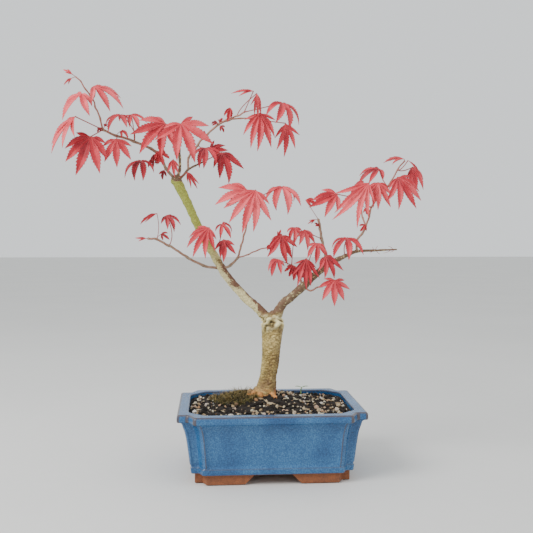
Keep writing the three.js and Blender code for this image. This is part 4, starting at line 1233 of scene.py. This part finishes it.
# Half breadth of a lobe, as a share of its widest, at shares of the way from notch to tip.
spindle = {"at": [0, 0.14, 0.3, 0.45, 0.6, 0.75, 0.88, 1],
           "half": [0.7, 0.88, 1, 0.98, 0.8, 0.47, 0.2, 0]}
# The low, middle and high point of a tooth: where it is in the tooth, its lift and its lean ahead.
tooth = {"at": [0.3, 0.62, 0.98], "lift": [-0.12, 0.03, 0.13], "ahead": [0.0, 0.02, 0.10]}
acrossLobe = np.array([-1, -0.7, -0.35, 0, 0.35, 0.7, 1])  # margin to margin, with the midrib at 0


# Rows of a lobe from its notch to its tip: the share of the way, and the teeth's lift and lean.
def toothedRows(teeth):
    q = ((np.arange(teeth)[:, None] + tooth["at"]) / teeth).ravel()[:-1]
    lift = np.tile(tooth["lift"], teeth)[:-1] * np.minimum(1, 6 * (1 - q)) * np.minimum(1, 6 * q)
    ahead = np.tile(tooth["ahead"], teeth)[:-1] / teeth * 3
    return np.append(q, 1.0), np.append(lift, 0.0), np.append(ahead, 0.0)


# The flat lobes, each in its own frame: a runs along its midrib and b off it. Inside the notch a
# margin is the straight border to the next lobe. Beyond it the margin stands off by breadth times
# the spindle curve with forward teeth. Between margin and midrib the points are an even mix.
def flatLobes(length, angle, fan, spacing, k, folded):
    lobes = len(length)
    limit = min((fan + spacing) / 2, math.radians(170))
    borders = np.clip((np.arange(lobes + 1) - lobes / 2) * spacing, -limit, limit)
    shorter = np.minimum(np.append(length, length[-1]), np.append(length[0], length))
    notchReach = leaf["notch"] * shorter
    inner = np.arange(leaf["baseRows"] + 1) / leaf["baseRows"]
    q, lift, ahead = toothedRows(leaf["foldedTeeth"] if folded else leaf["teeth"])
    s = leaf["notch"] + (1 - leaf["notch"]) * q
    standOff = np.interp(q, spindle["at"], spindle["half"]) * (1 + lift)
    middleOut = length * math.sin(k * 0.5) / k
    breadth = np.minimum(leaf["breadth"] * length, leaf["room"] * spacing * middleOut)
    if folded:
        breadth = np.maximum(breadth, 0.06 * length)
    blendIn = np.clip(q / 0.16, 0, 1)
    blendIn = blendIn**2 * (3 - 2 * blendIn)

    def margin(sign, border, reach):
        off = border - angle
        baseA = inner[None] * (reach * np.cos(off))[:, None]
        baseB = inner[None] * (reach * np.sin(off))[:, None]
        freeA = np.minimum((s + ahead * (1 - q) ** 0.3)[None] * length[:, None], length[:, None])
        freeB = sign * breadth[:, None] * standOff[None]
        freeA = baseA[:, -1:] * (1 - blendIn) + freeA * blendIn
        freeB = baseB[:, -1:] * (1 - blendIn) + freeB * blendIn
        return (np.concatenate([baseA, freeA], 1)[..., None],
                np.concatenate([baseB, freeB], 1)[..., None])

    leftA, leftB = margin(-1, borders[:-1], notchReach[:-1])
    rightA, rightB = margin(1, borders[1:], notchReach[1:])
    rows = np.concatenate([inner * leaf["notch"], s])
    midrib = (rows[None] * length[:, None])[..., None]
    share = np.abs(acrossLobe)
    a = np.where(acrossLobe < 0, leftA, rightA) * share + midrib * (1 - share)
    b = np.where(acrossLobe < 0, leftB, rightB) * share
    return a, b, rows[None, :, None]


# The lobes' grids as one sheet: they share the hub and the borders inside the notch, and each
# closes at its tip. Gives the grid points that are used, and the triangles between them.
def weldedLobes(lobes, rows, columns):
    rowsIn = leaf["baseRows"]
    index = np.arange(lobes * rows * columns).reshape(lobes, rows, columns)
    index[:, 0, :] = 0
    index[1:, 1:rowsIn + 1, 0] = index[:-1, 1:rowsIn + 1, -1]
    index[:, -1, :] = index[:, -1, :1]
    a, b, c, d = index[:, :-1, :-1], index[:, 1:, :-1], index[:, 1:, 1:], index[:, :-1, 1:]
    faces = np.stack([a, b, c, a, c, d], -1).reshape(-1, 3)
    good = ((faces[:, 0] != faces[:, 1]) & (faces[:, 1] != faces[:, 2])
            & (faces[:, 0] != faces[:, 2]))
    used, faces = np.unique(faces[good], return_inverse=True)
    return used, faces.reshape(-1, 3)


# A palmate blade in its own frame: X along the middle lobe, Z out of the upper face. A point that
# lies s of the way out is carried to out = L sin(ks)/k and down = L (1 - cos(ks))/k, so that each
# lobe bends evenly by its k. Near the hub all lobes bend alike, so that their borders meet.
def leafBlade(size, fan, droop, lobes, seed, folded=False):
    random = np.random.default_rng(seed)
    fan, k = math.radians(fan), max(math.radians(droop), 0.01)
    spacing = fan / (lobes - 1)
    length = size * np.array(lobeShares[lobes]) * random.uniform(0.96, 1.04, lobes)
    angle = (np.arange(lobes) - (lobes - 1) / 2) * spacing
    angle = angle + random.uniform(-1, 1, lobes) * leaf["unevenTurn"] * spacing
    lobeTone = random.uniform(-1, 1, (lobes, 1, 1)) * leaf["lobeTone"]
    full, turn = length[:, None, None], angle[:, None, None]
    sway = random.uniform(-leaf["sway"], leaf["sway"], lobes)[:, None, None] * full
    ownK = k * (1 + random.uniform(-1, 1, lobes) * leaf["unevenBend"]) + 0.15
    ownK = ownK[:, None, None]
    a, b, rowShare = flatLobes(length, angle, fan, spacing, k, folded)
    aside = np.abs(b)
    rise = leaf["fold"] * aside * (leaf["foldedFold"] if folded else 1.0)
    wave = np.sin(2 * np.pi * (a - 1.15 * aside) / leaf["rippleLength"])
    rise = rise + leaf["ripple"] * wave * np.clip(aside / 1.2, 0, 1) * np.clip(1.2 - rowShare, 0, 1)

    theta = turn + np.arctan2(b, a)
    reach = np.interp(theta, angle, length)
    bent = k * np.hypot(a, b) / reach
    out = reach * np.sin(bent) / k + rise * np.sin(bent)
    down = reach * (1 - np.cos(bent)) / k - rise * np.cos(bent)
    nearHub = np.stack([out * np.cos(theta), out * np.sin(theta), -down], -1)
    bent = ownK * a / full
    out = full * np.sin(bent) / ownK + rise * np.sin(bent)
    down = full * (1 - np.cos(bent)) / ownK - rise * np.cos(bent)
    off = b + sway * np.clip(a / full - leaf["notch"], 0, 1) ** 2 * 2
    onLobe = np.stack([out * np.cos(turn) - off * np.sin(turn),
                       out * np.sin(turn) + off * np.cos(turn), -down], -1)
    weight = np.clip((rowShare - leaf["notch"]) / 0.15, 0, 1)[..., None]
    points = nearHub * (1 - weight) + onLobe * weight

    grid = points.shape[:3]
    used, faces = weldedLobes(*grid)
    # Each lobe's own random tone, plus painted shade and light: darker towards the hub, where the
    # lobes crease, lighter towards the tips, and one half of each lobe lighter than the other, as
    # light falls on a fold.
    shift = lobeTone + 0.5 * np.clip(rowShare - 0.3, -0.3, 0.35) + leaf["paintedFoldShading"] * acrossLobe
    marks = {"aside": aside, "along": a, "shift": shift,
             "rim": np.abs(acrossLobe) * (rowShare > leaf["notch"])}
    marks = {key: np.broadcast_to(value, grid).ravel()[used] for key, value in marks.items()}
    sheet = {"points": points.reshape(-1, 3)[used], "faces": faces, "marks": marks}
    return thickened(sheet, leaf["thickness"])


# Sets a blade at the top of its petiole, with its upper side to face and its middle lobe to aim.
def standAt(made, hub, face, aim):
    up = unit(np.asarray(face, float))
    ahead = np.asarray(aim, float)
    ahead = unit(ahead - up * ahead.dot(up))
    basis = np.stack([ahead, np.cross(up, ahead), up])
    made["points"] = made["points"] @ basis + hub
    return made


# Which way a stalk leaves the wood at a point: towards its end, but square to the wood.
def outFrom(points, at, towards):
    out = towards - points[at]
    if at < len(points) - 1:
        along = unit(points[at + 1] - points[at - 1])
        out = out - along * out.dot(along)
    return unit(out)


# The petiole follows the curve (1-t)^2 foot + 2t(1-t) bow + t^2 hub and swells a little at its
# foot and under the blade.
def wholeLeaf(row, seed, folded=False):
    on, at, step, face, aim, sizeShare, fan, droop, lobes, tone = row
    points = wooden[on]["points"]
    hub = points[at] + np.array(step, float)
    foot = points[at]
    bow = foot + outFrom(points, at, hub) * 0.4 * np.linalg.norm(hub - foot)
    t = np.linspace(0, 1, 15)[:, None]
    path = (1 - t) ** 2 * foot + 2 * t * (1 - t) * bow + t**2 * hub
    swell = 1 + 0.7 * np.exp(-(t[:, 0] / 0.07) ** 2) + 0.25 * np.exp(-((1 - t[:, 0]) / 0.06) ** 2)
    radius = leaf["petiole"] * (0.72 if folded else 1.0) * (0.7 + 0.3 * sizeShare)
    stalk = tube(path, radius * swell, 8, stalk=1.0, foliage=1.0, tone=tone, aside=5.0)
    blade = leafBlade(sizeShare * leaf["lobe"], fan, droop, lobes, seed, folded)
    # The blade's tone takes in its lobes' random tones and the painted shade and light of its
    # creases and folds.
    blade["marks"]["tone"] = tone + blade["marks"].pop("shift")
    blade["marks"]["foliage"] = np.ones(len(blade["points"]))
    return merged([stalk, standAt(blade, hub, face, aim)])


# Shoots: what each grows from, which point of it, its thickness at either end, the steps from
# that point, and whether it is a side branch of that shoot.
shootPlan = {
    "lowerLeft": ("leftLimb", 4, (1, 0.75), [
        [-21, -6, 4], [-38, -14, 13], [-58, -24, 26], [-71, -30, 33], [-80, -33, 34]], False),
    "midLeft": ("leftLimb", 4, (1.1, 0.9), [[10, -5, 4], [18, -14, 13]], False),
    "midLeftUp": ("midLeft", 2, (0.75, 0.5), [
        [3, -10, 13], [6, -20, 25], [12, -30, 47], [22, -37, 66]], True),
    "midLeftOut": ("midLeft", 2, (0.55, 0.4), [
        [12, 7, 3], [23, 15, 8], [38, 23, 12], [46, 29, 17]], True),
    "upperLeft": ("leftLimb", 9, (1.1, 0.8), [
        [-11, 0, 13], [-15, -1, 22], [-26, -7, 33], [-44, -17, 40], [-62, -25, 45],
        [-75, -31, 50]], False),
    "upperLeftTip": ("upperLeft", 6, (0.65, 0.4), [
        [-2, -6, 11], [-6, -14, 22], [-8, -18, 29], [-14, -22, 38], [-19, -26, 45],
        [-23, -28, 49]], True),
    "upperRight": ("backTwig", 2, (0.8, 0.8), [
        [0, 10, 14], [10, 20, 30], [20, 28, 42], [34, 36, 56]], False),
    "upperRightOut": ("upperRight", 4, (0.7, 0.55), [[13, 6, 6], [26, 10, 9], [37, 8, 8]], True),
    "upperRightIn": ("upperRight", 4, (0.7, 0.55), [
        [11, -8, 5], [21, -16, 7], [29, -20, 11]], True),
    "underRight": ("rightLimb", 3, (0.7, 0.5), [[8, -5, -4], [15, -10, 0], [20, -13, 1]], False),
    "innerRight": ("rightLimb", 3, (0.9, 0.7), [[-3, 7, 11], [-6, 11, 20], [-11, 14, 24]], False),
    "centre": ("rightLimb", 5, (1.2, 0.9), [
        [3, 10, 13], [0, 22, 32], [-1, 30, 44], [-2, 34, 54]], False),
    "farRight": ("rightLimb", 8, (0.9, 0.75), [[-1, -4, 11], [4, -6, 19], [8, -8, 27]], False),
    "farRightBack": ("farRight", 3, (0.65, 0.5), [[-1, 12, 10], [-2, 24, 23], [-3, 32, 32]], True),
    "farRightOut": ("farRight", 3, (0.7, 0.45), [
        [2, -8, 11], [3, -16, 20], [9, -24, 31], [17, -30, 41], [26, -34, 58],
        [33, -36, 67]], True),
}

# Leaves: the wood, the point of it, the step to the top of the petiole, which way the face looks,
# where the middle lobe points, its length as a share of the largest, the fan and the droop in
# degrees, the number of lobes, and the tone from 0, dark red, to 1, pale pink.
leafPlan = [
    ("upperLeftTip", 3, (2, -4, 12), (0.2, -0.5, 0.8), (1, -0.3, -0.3), 0.9, 130, 35, 5, 0.72),
    ("upperLeftTip", 3, (-9, -10, 3), (-0.2, -0.6, 0.7), (-0.6, -0.3, -0.8), 0.78, 190, 65, 5, 0.8),
    ("upperLeft", 6, (-26, -16, 11), (-0.5, -0.6, 0.6), (-0.8, -0.2, -0.6), 1.05, 90, 25, 5, 0.75),
    ("upperLeft", 6, (-11, -12, -9), (0, -1, 0.35), (-0.3, -0.3, -1), 0.98, 180, 25, 7, 0.38),
    ("upperLeft", 4, (-12, -12, 26), (0, -0.4, 1), (-0.6, -0.5, -0.3), 0.62, 240, 70, 5, 0.5),
    ("upperLeft", 5, (2, -12, -5), (0, -1, 0.4), (0, -0.3, -1), 0.74, 130, 25, 5, 0.55),
    ("upperLeft", 4, (-5, 20, 32), (0, -0.5, 0.9), (0.5, -0.4, -0.7), 0.55, 160, 60, 5, 0.45),
    ("uprightTwig", 3, (-14, -11, 18), (0.1, -1, 0.5), (-0.7, -0.3, -0.75), 1, 190, 25, 7, 0.5),
    ("uprightTwig", 3, (3, -30, 15), (0.1, -1, 0.5), (0.4, -0.3, -0.9), 1.05, 220, 25, 7, 0.6),
    ("upperLeft", 2, (-22, -10, -2), (-0.1, -0.45, 1), (-0.5, -0.7, -0.3), 0.68, 280, 75, 7, 0.24),
    ("uprightTwig", 1, (-6, -24, 8), (0, -1, 0.3), (0, -0.3, -1), 0.45, 80, 15, 5, 0.45),
    ("leftLimb", 9, (12, -15, 8), (0.3, -1, 0.3), (0.65, -0.3, -0.75), 0.52, 60, 20, 5, 0.4),
    ("backTwig", 4, (2, -12, 14), (0, -0.6, 0.9), (0.1, -0.6, -0.8), 0.68, 200, 55, 7, 0.24),
    ("upperRight", 2, (13, 12, -3), (0, -1, 0.2), (1, -0.2, 0), 0.55, 110, 10, 5, 0.22),
    ("backTwig", 4, (20, -4, 10), (0.3, -0.9, 0.5), (0.45, -0.3, -0.9), 0.88, 120, 30, 5, 0.28),
    ("upperRightIn", 3, (10, -10, 22), (0, -0.5, 0.8), (-1, 0, 0), 0.6, 50, 20, 3, 0.5),
    ("upperRightIn", 2, (23, 4, 27), (0.3, -1, 0.2), (0.05, -0.2, -1), 0.7, 50, 15, 5, 0.5),
    ("upperRightOut", 3, (11, -18, 4), (0, -1, 0.35), (0, -0.3, -1), 1.08, 125, 20, 7, 0.5),
    ("upperRightIn", 3, (43, -4, 10), (0.3, -0.5, 0.9), (0.45, -0.4, -0.8), 0.85, 270, 65, 7, 0.45),
    ("upperRightOut", 3, (42, -2, -5), (0, -1, 0.3), (0.1, -0.3, -1), 0.92, 75, 15, 5, 0.45),
    ("lowerLeft", 3, (-2, -12, 33), (0.1, -0.6, 0.8), (0.5, -0.2, -0.8), 0.52, 130, 50, 5, 0.2),
    ("leftLimb", 6, (7, -25, 10), (-0.2, -0.9, 0.5), (-0.65, -0.3, -0.8), 0.88, 130, 35, 7, 0.5),
    ("leftLimb", 5, (11, -18, 30), (0, -0.6, 0.8), (0.6, -0.4, -0.6), 0.48, 200, 60, 5, 0.4),
    ("leftLimb", 5, (13, -26, 13), (0, -1, 0.3), (0.1, -0.3, -1), 0.6, 110, 20, 5, 0.26),
    ("midLeftUp", 3, (-4, -17, 25), (0, -1, 0.4), (-1, -0.2, -0.25), 0.85, 110, 20, 5, 0.8),
    ("midLeftUp", 4, (-6, -22, 5), (-0.1, -1, 0.4), (-0.35, -0.3, -0.95), 1.15, 130, 25, 7, 0.78),
    ("midLeftUp", 4, (25, 12, 11), (0.1, -0.5, 1), (0.2, -0.6, -0.7), 0.82, 240, 75, 7, 0.75),
    ("midLeftOut", 4, (4, -14, 8), (0, -1, 0.4), (0, -0.4, -1), 0.78, 150, 30, 7, 0.45),
    ("innerRight", 3, (5, 15, 43), (0, -0.7, 0.7), (0, -0.4, -0.8), 0.5, 160, 50, 5, 0.5),
    ("innerRight", 3, (-17, -11, 7), (-0.2, -0.7, 0.7), (-0.4, -0.3, -0.9), 0.5, 150, 50, 5, 0.55),
    ("centre", 2, (-21, -10, 10), (0.2, -0.8, 0.6), (0.2, -0.3, -1), 0.58, 110, 30, 5, 0.6),
    ("innerRight", 2, (8, -28, 12), (0, -1, 0.3), (-0.15, -0.4, -1), 0.82, 110, 15, 7, 0.35),
    ("rightLimb", 4, (3, -19, 38), (0, -1, 0.5), (-0.1, -0.4, -0.9), 0.54, 150, 40, 5, 0.6),
    ("rightLimb", 5, (-3, -26, 13), (0.1, -0.8, 0.6), (0.4, -0.3, -0.8), 0.64, 150, 40, 7, 0.35),
    ("rightLimb", 7, (-2, -17, 19), (0, -0.45, 1), (0, -0.8, -0.4), 0.7, 290, 70, 7, 0.45),
    ("underRight", 3, (12, -12, 8), (0, -1, 0.5), (-0.1, -0.4, -0.9), 0.66, 190, 25, 7, 0.55),
    ("farRightBack", 3, (-25, -12, 4), (0, -0.9, 0.5), (-0.85, -0.2, -0.45), 0.85, 120, 15, 5, 0.5),
    ("farRightBack", 3, (7, 2, 20), (-0.3, -0.6, 0.7), (-0.85, -0.3, -0.35), 0.56, 90, 50, 5, 0.25),
    ("farRightOut", 2, (-8, -24, 24), (-0.2, -1, 0.4), (-0.65, -0.2, -0.75), 1.2, 90, 15, 7, 0.75),
    ("farRightOut", 3, (-3, -9, 14), (0, -1, 0.5), (0, -0.3, -1), 0.72, 140, 25, 7, 0.7),
    ("farRightOut", 4, (-6, 16, 20), (-0.1, -0.5, 0.9), (-0.8, -0.2, -0.3), 0.68, 160, 45, 5, 0.4),
    ("farRightOut", 4, (5, -22, 8), (0.1, -1, 0.4), (0.45, -0.3, -0.85), 0.9, 140, 20, 7, 0.5),
    ("farRightOut", 5, (9, -8, 9), (0.5, -0.3, 0.8), (0.75, -0.2, -0.5), 0.52, 50, 30, 3, 0.5),
    ("farRightOut", 5, (19, 10, 4), (0.2, -0.9, 0.4), (0.15, -0.3, -1), 0.72, 90, 25, 5, 0.4),
]

# Leaves still folded at the tips of the shoots, and the smallest curled ones beside them.
budPlan = [
    ("upperLeftTip", 6, (-3, -2, 2), (0, -1, 0.3), (-0.8, 0, 0.5), 0.28, 30, 10, 3, 0.7),
    ("upperLeftTip", 6, (-4, 2, -1), (0, -1, 0.3), (-0.8, 0, -0.6), 0.26, 30, 40, 3, 0.6),
    ("lowerLeft", 5, (-2, -1, 0), (0, -1, 0.3), (-1, 0, 0), 0.28, 30, 0, 3, 0.5),
    ("lowerLeft", 4, (1, -8, 28), (0, -0.8, 0.6), (-0.8, 0, -0.5), 0.55, 24, 40, 3, 0.3),
    ("lowerLeft", 4, (5, 3, 6), (0, -1, 0.4), (0.8, 0, -0.4), 0.25, 100, 20, 3, 0.3),
    ("midLeftOut", 3, (-3, -4, 2), (0, -0.6, 0.8), (0.3, -0.3, -0.9), 0.24, 60, 60, 3, 0.5),
    ("midLeftOut", 4, (1, 3, 6), (0, -1, 0.2), (0.5, 0, 0.8), 0.25, 50, 20, 3, 0.5),
    ("centre", 4, (-16, -8, 22), (0, -1, 0.3), (0.9, 0, -0.4), 0.34, 60, 20, 3, 0.5),
    ("centre", 4, (-4, -4, 0), (0, -1, 0.3), (-0.8, 0, -0.4), 0.24, 24, 10, 3, 0.5),
    ("farRightBack", 2, (5, -5, -2), (0, -1, 0.3), (0.3, -0.3, -0.9), 0.2, 60, 60, 3, 0.4),
    ("farRightOut", 6, (-1, -1, 2), (0, -0.5, 0.9), (-0.9, 0, 0.2), 0.5, 40, 20, 3, 0.6),
    ("upperLeft", 2, (-5, -3, 5), (0, -0.8, 0.6), (-0.6, -0.2, -0.7), 0.3, 110, 60, 5, 0.15),
    ("upperLeft", 2, (-9, -6, -1), (0, -0.8, 0.5), (-0.7, -0.2, -0.6), 0.26, 90, 70, 3, 0.1),
    ("upperLeft", 1, (-2, -3, -2), (0, -1, 0.3), (-0.3, -0.2, -0.9), 0.26, 60, 50, 3, 0.1),
    ("upperLeft", 3, (7, -7, -3), (0, -1, 0.3), (0.5, -0.2, -0.8), 0.42, 120, 45, 5, 0.45),
    ("upperLeft", 5, (5, -4, 4), (0, -0.6, 0.8), (0.7, -0.3, -0.4), 0.3, 90, 50, 3, 0.5),
    ("upperLeft", 6, (-2, -3, 2), (0, -1, 0.3), (-0.5, -0.2, -0.6), 0.16, 60, 50, 3, 0.2),
    ("upperLeft", 6, (2, -3, 3), (0, -1, 0.3), (0.3, -0.2, 0.6), 0.14, 60, 50, 3, 0.2),
    ("upperRight", 3, (-1, -2, 1), (0, -1, 0.3), (-0.6, -0.2, 0.5), 0.2, 60, 50, 3, 0.15),
    ("upperRight", 4, (-1, -2, 1), (0, -1, 0.3), (-0.8, -0.2, 0.2), 0.24, 60, 60, 3, 0.15),
    ("upperRight", 4, (1, -2, 2), (0, -1, 0.3), (0.3, -0.2, 0.6), 0.22, 80, 60, 3, 0.2),
    ("upperRight", 4, (2, -2, -2), (0, -1, 0.3), (0.5, -0.2, -0.6), 0.22, 80, 60, 3, 0.3),
    ("upperRightIn", 1, (2, -6, 12), (0, -1, 0.3), (-0.2, -0.3, -0.9), 0.4, 60, 30, 3, 0.5),
    ("midLeftOut", 3, (0, -5, 4), (0, -0.8, 0.6), (0.3, -0.3, -0.9), 0.26, 70, 60, 3, 0.5),
    ("farRight", 3, (-1, -2, 2), (0, -1, 0.3), (-0.5, -0.2, -0.6), 0.24, 80, 60, 3, 0.3),
    ("farRightOut", 1, (0, -2, 2), (0, -1, 0.3), (-0.2, -0.2, 0.8), 0.2, 60, 50, 3, 0.3),
    ("centre", 3, (-1, -2, 2), (0, -1, 0.3), (-0.5, -0.2, 0.6), 0.18, 60, 50, 3, 0.2),
    ("innerRight", 2, (-4, -5, 4), (0, -1, 0.3), (-0.4, -0.3, -0.8), 0.36, 110, 50, 5, 0.35),
    ("innerRight", 3, (5, -6, -4), (0, -1, 0.3), (0.2, -0.3, -0.9), 0.4, 120, 45, 5, 0.45),
]

# Threadlike remains of leaf stalks on the right limb's thin end: point of the limb, and step.
hairPlan = [(9, (3, -2, 5)), (9, (-2, -3, 4)), (9, (5, -2, -4)), (9, (-4, -1, -3)),
            (10, (-8, -2, 4)), (10, (-12, -1, -4)), (10, (-6, -3, -3))]


# A name in camelCase with its words apart, as the frame's nodes have it.
def spaced(name):
    return "".join("_" + letter.lower() if letter.isupper() else letter for letter in name)


# A shoot tapers from end to end and swells at each of its points, where leaves come out.
def shootTube(points, girth):
    perSpan = 8
    path = smoothPath(points, perSpan)
    place = np.arange(len(path)) / perSpan
    radius = np.interp(place, [0, place[-1]], girth) * wood["shootDiameter"] / 2
    toNode = np.abs(place - np.round(place))
    radius = radius * (1 + 0.28 * np.exp(-(toNode / 0.12) ** 2))
    wobble = 0.35 * np.stack([ripples(path, 9.0, seed) for seed in (61, 62, 63)], -1)
    fade = np.minimum(1, np.minimum(place, place[-1] - place) * 2)[:, None]
    young = np.clip(1.25 - radius / 1.35, 0, 1)
    return tube(path + wobble * fade, radius, 10, 0.9, young=young)


shootParts = {}
shootHome = {}
for name, (on, at, girth, steps, isBranch) in shootPlan.items():
    points = stepped(wooden[on]["points"][at], steps)
    wooden[name] = {"points": points}
    shootHome[name] = shootHome[on] if isBranch else name
    shootParts.setdefault(shootHome[name], []).append(shootTube(points, girth))
for number, row in enumerate(budPlan):
    shootParts[shootHome[row[0]]].append(wholeLeaf(row, 200 + number, folded=True))
for at, step in hairPlan:
    step = np.array(step)
    foot = rightLimb[at] + step * [0.5, 0, 0]
    path = smoothPath([foot, foot + step * [0.2, 0.6, 0.5], foot + step * [0.7, 1, 1]], 5)
    thin = np.linspace(0.32, 0.16, len(path))
    shootParts["farRight"].append(tube(path, thin, 6, stalk=1.0, foliage=1.0, tone=0.4, aside=5.0))
for name, parts in shootParts.items():
    piece = objectFrom(name + "Shoot", merged(parts))
    dress(piece, ["shoot_" + spaced(name)], finishes["shoot"])
print("shoots made")

leafNumber = {}
for number, row in enumerate(leafPlan):
    leafNumber[row[0]] = leafNumber.get(row[0], 0) + 1
    piece = objectFrom(f"{row[0]}Leaf{leafNumber[row[0]]}", wholeLeaf(row, 100 + number))
    dress(piece, [f"leaf_{spaced(row[0])}_{leafNumber[row[0]]}"], finishes["leaf"])
print("leaves made")

seedling = {"at": (42, 48), "height": 11, "stem": 0.6, "leafLength": 7.8, "leafBreadth": 3.2,
            "leafThickness": 0.35, "rise": 24}


# A seed leaf: x runs along it, its half breadth is that of an oval, and it curls down at its tip.
def seedLeaf(turn):
    u = np.linspace(0, 1, 15)[:, None]
    v = np.linspace(-1, 1, 7)[None, :]
    half = seedling["leafBreadth"] / 2 * np.sin(np.pi * np.clip(u, 0.02, 0.985)) ** 0.6
    x = seedling["leafLength"] * u + 0 * v
    y = half * v
    z = 0.18 * np.abs(y) + math.tan(math.radians(seedling["rise"])) * x - 0.035 * x**2
    grid = np.stack([x, y, z], -1).reshape(-1, 3)
    cosine, sine = math.cos(turn), math.sin(turn)
    spin = np.array([[cosine, -sine, 0], [sine, cosine, 0], [0, 0, 1]])
    faces = gridFaces(len(u), v.size, closed=False)[:, ::-1]
    sheet = {"points": grid @ spin.T, "faces": faces, "marks": {}}
    made = thickened(sheet, seedling["leafThickness"])
    made["marks"]["blade"] = np.ones(len(made["points"]))
    return made


def wholeSeedling():
    x, y = seedling["at"]
    foot = np.array([x, y, soilTop(x, y) - 0.5])
    crown = foot + [0.5, 0, seedling["height"] - 1.5]
    path = smoothPath([foot, (foot + crown) / 2 - [0.7, 0, 0], crown], 6)
    stem = tube(path, np.full(len(path), seedling["stem"]), 10, blade=0.0)
    blades = [seedLeaf(turn) for turn in (0.0, math.pi)]
    for blade in blades:
        blade["points"] += crown
    return merged([stem, *blades])


dress(objectFrom("seedling", wholeSeedling()), ["seedling"], finishes["seedling"])
for name in ("drain_mesh_left", "drain_mesh_right"):
    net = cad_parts[name]
    net.data.materials.clear()
    net.data.materials.append(finishes["net"])
print("seedling made")

studio = {
    "floorSize": 24.0, "worldColour": linear(232, 236, 238), "worldStrength": 1.25,
    "keyPlace": (-1.05, -0.7, 1.15), "keySize": 0.8, "keyPower": 24.0,
    "fillPlace": (1.2, -0.6, 0.8), "fillSize": 1.2, "fillPower": 4.0, "lightsAimAt": (0, 0, 0.2),
    "cameraAt": (-64.4, -840.5, 251.0), "cameraLook": (0.0732, 0.9968, -0.032), "lens": 51.3,
}

bpy.ops.mesh.primitive_plane_add(size=studio["floorSize"], location=(0, 0, -0.0005))
floor = bpy.context.object
floor.name = "paleFloor"
floor.data.materials.append(finishes["floor"])

world = bpy.data.worlds.new("softStudio")
bpy.context.scene.world = world
world.use_nodes = True
background = world.node_tree.nodes["Background"].inputs
background["Color"].default_value = studio["worldColour"]
background["Strength"].default_value = studio["worldStrength"]


def softLight(name, place, size, power):
    light = bpy.data.lights.new(name, "AREA")
    light.shape = "DISK"
    light.size = size
    light.energy = power
    lamp = bpy.data.objects.new(name, light)
    lamp.location = place
    aim = Vector(studio["lightsAimAt"]) - Vector(place)
    lamp.rotation_euler = aim.to_track_quat("-Z", "Y").to_euler()
    bpy.context.scene.collection.objects.link(lamp)


softLight("keyLight", studio["keyPlace"], studio["keySize"], studio["keyPower"])
softLight("fillLight", studio["fillPlace"], studio["fillSize"], studio["fillPower"])

camera = bpy.data.objects.new("camera", bpy.data.cameras.new("camera"))
camera.data.lens = studio["lens"]
camera.data.sensor_width = 36
camera.location = Vector(np.array(studio["cameraAt"]) * 0.001 + potCentre)
camera.rotation_euler = Vector(studio["cameraLook"]).to_track_quat("-Z", "Y").to_euler()
bpy.context.scene.collection.objects.link(camera)
bpy.context.scene.camera = camera
print("studio made")
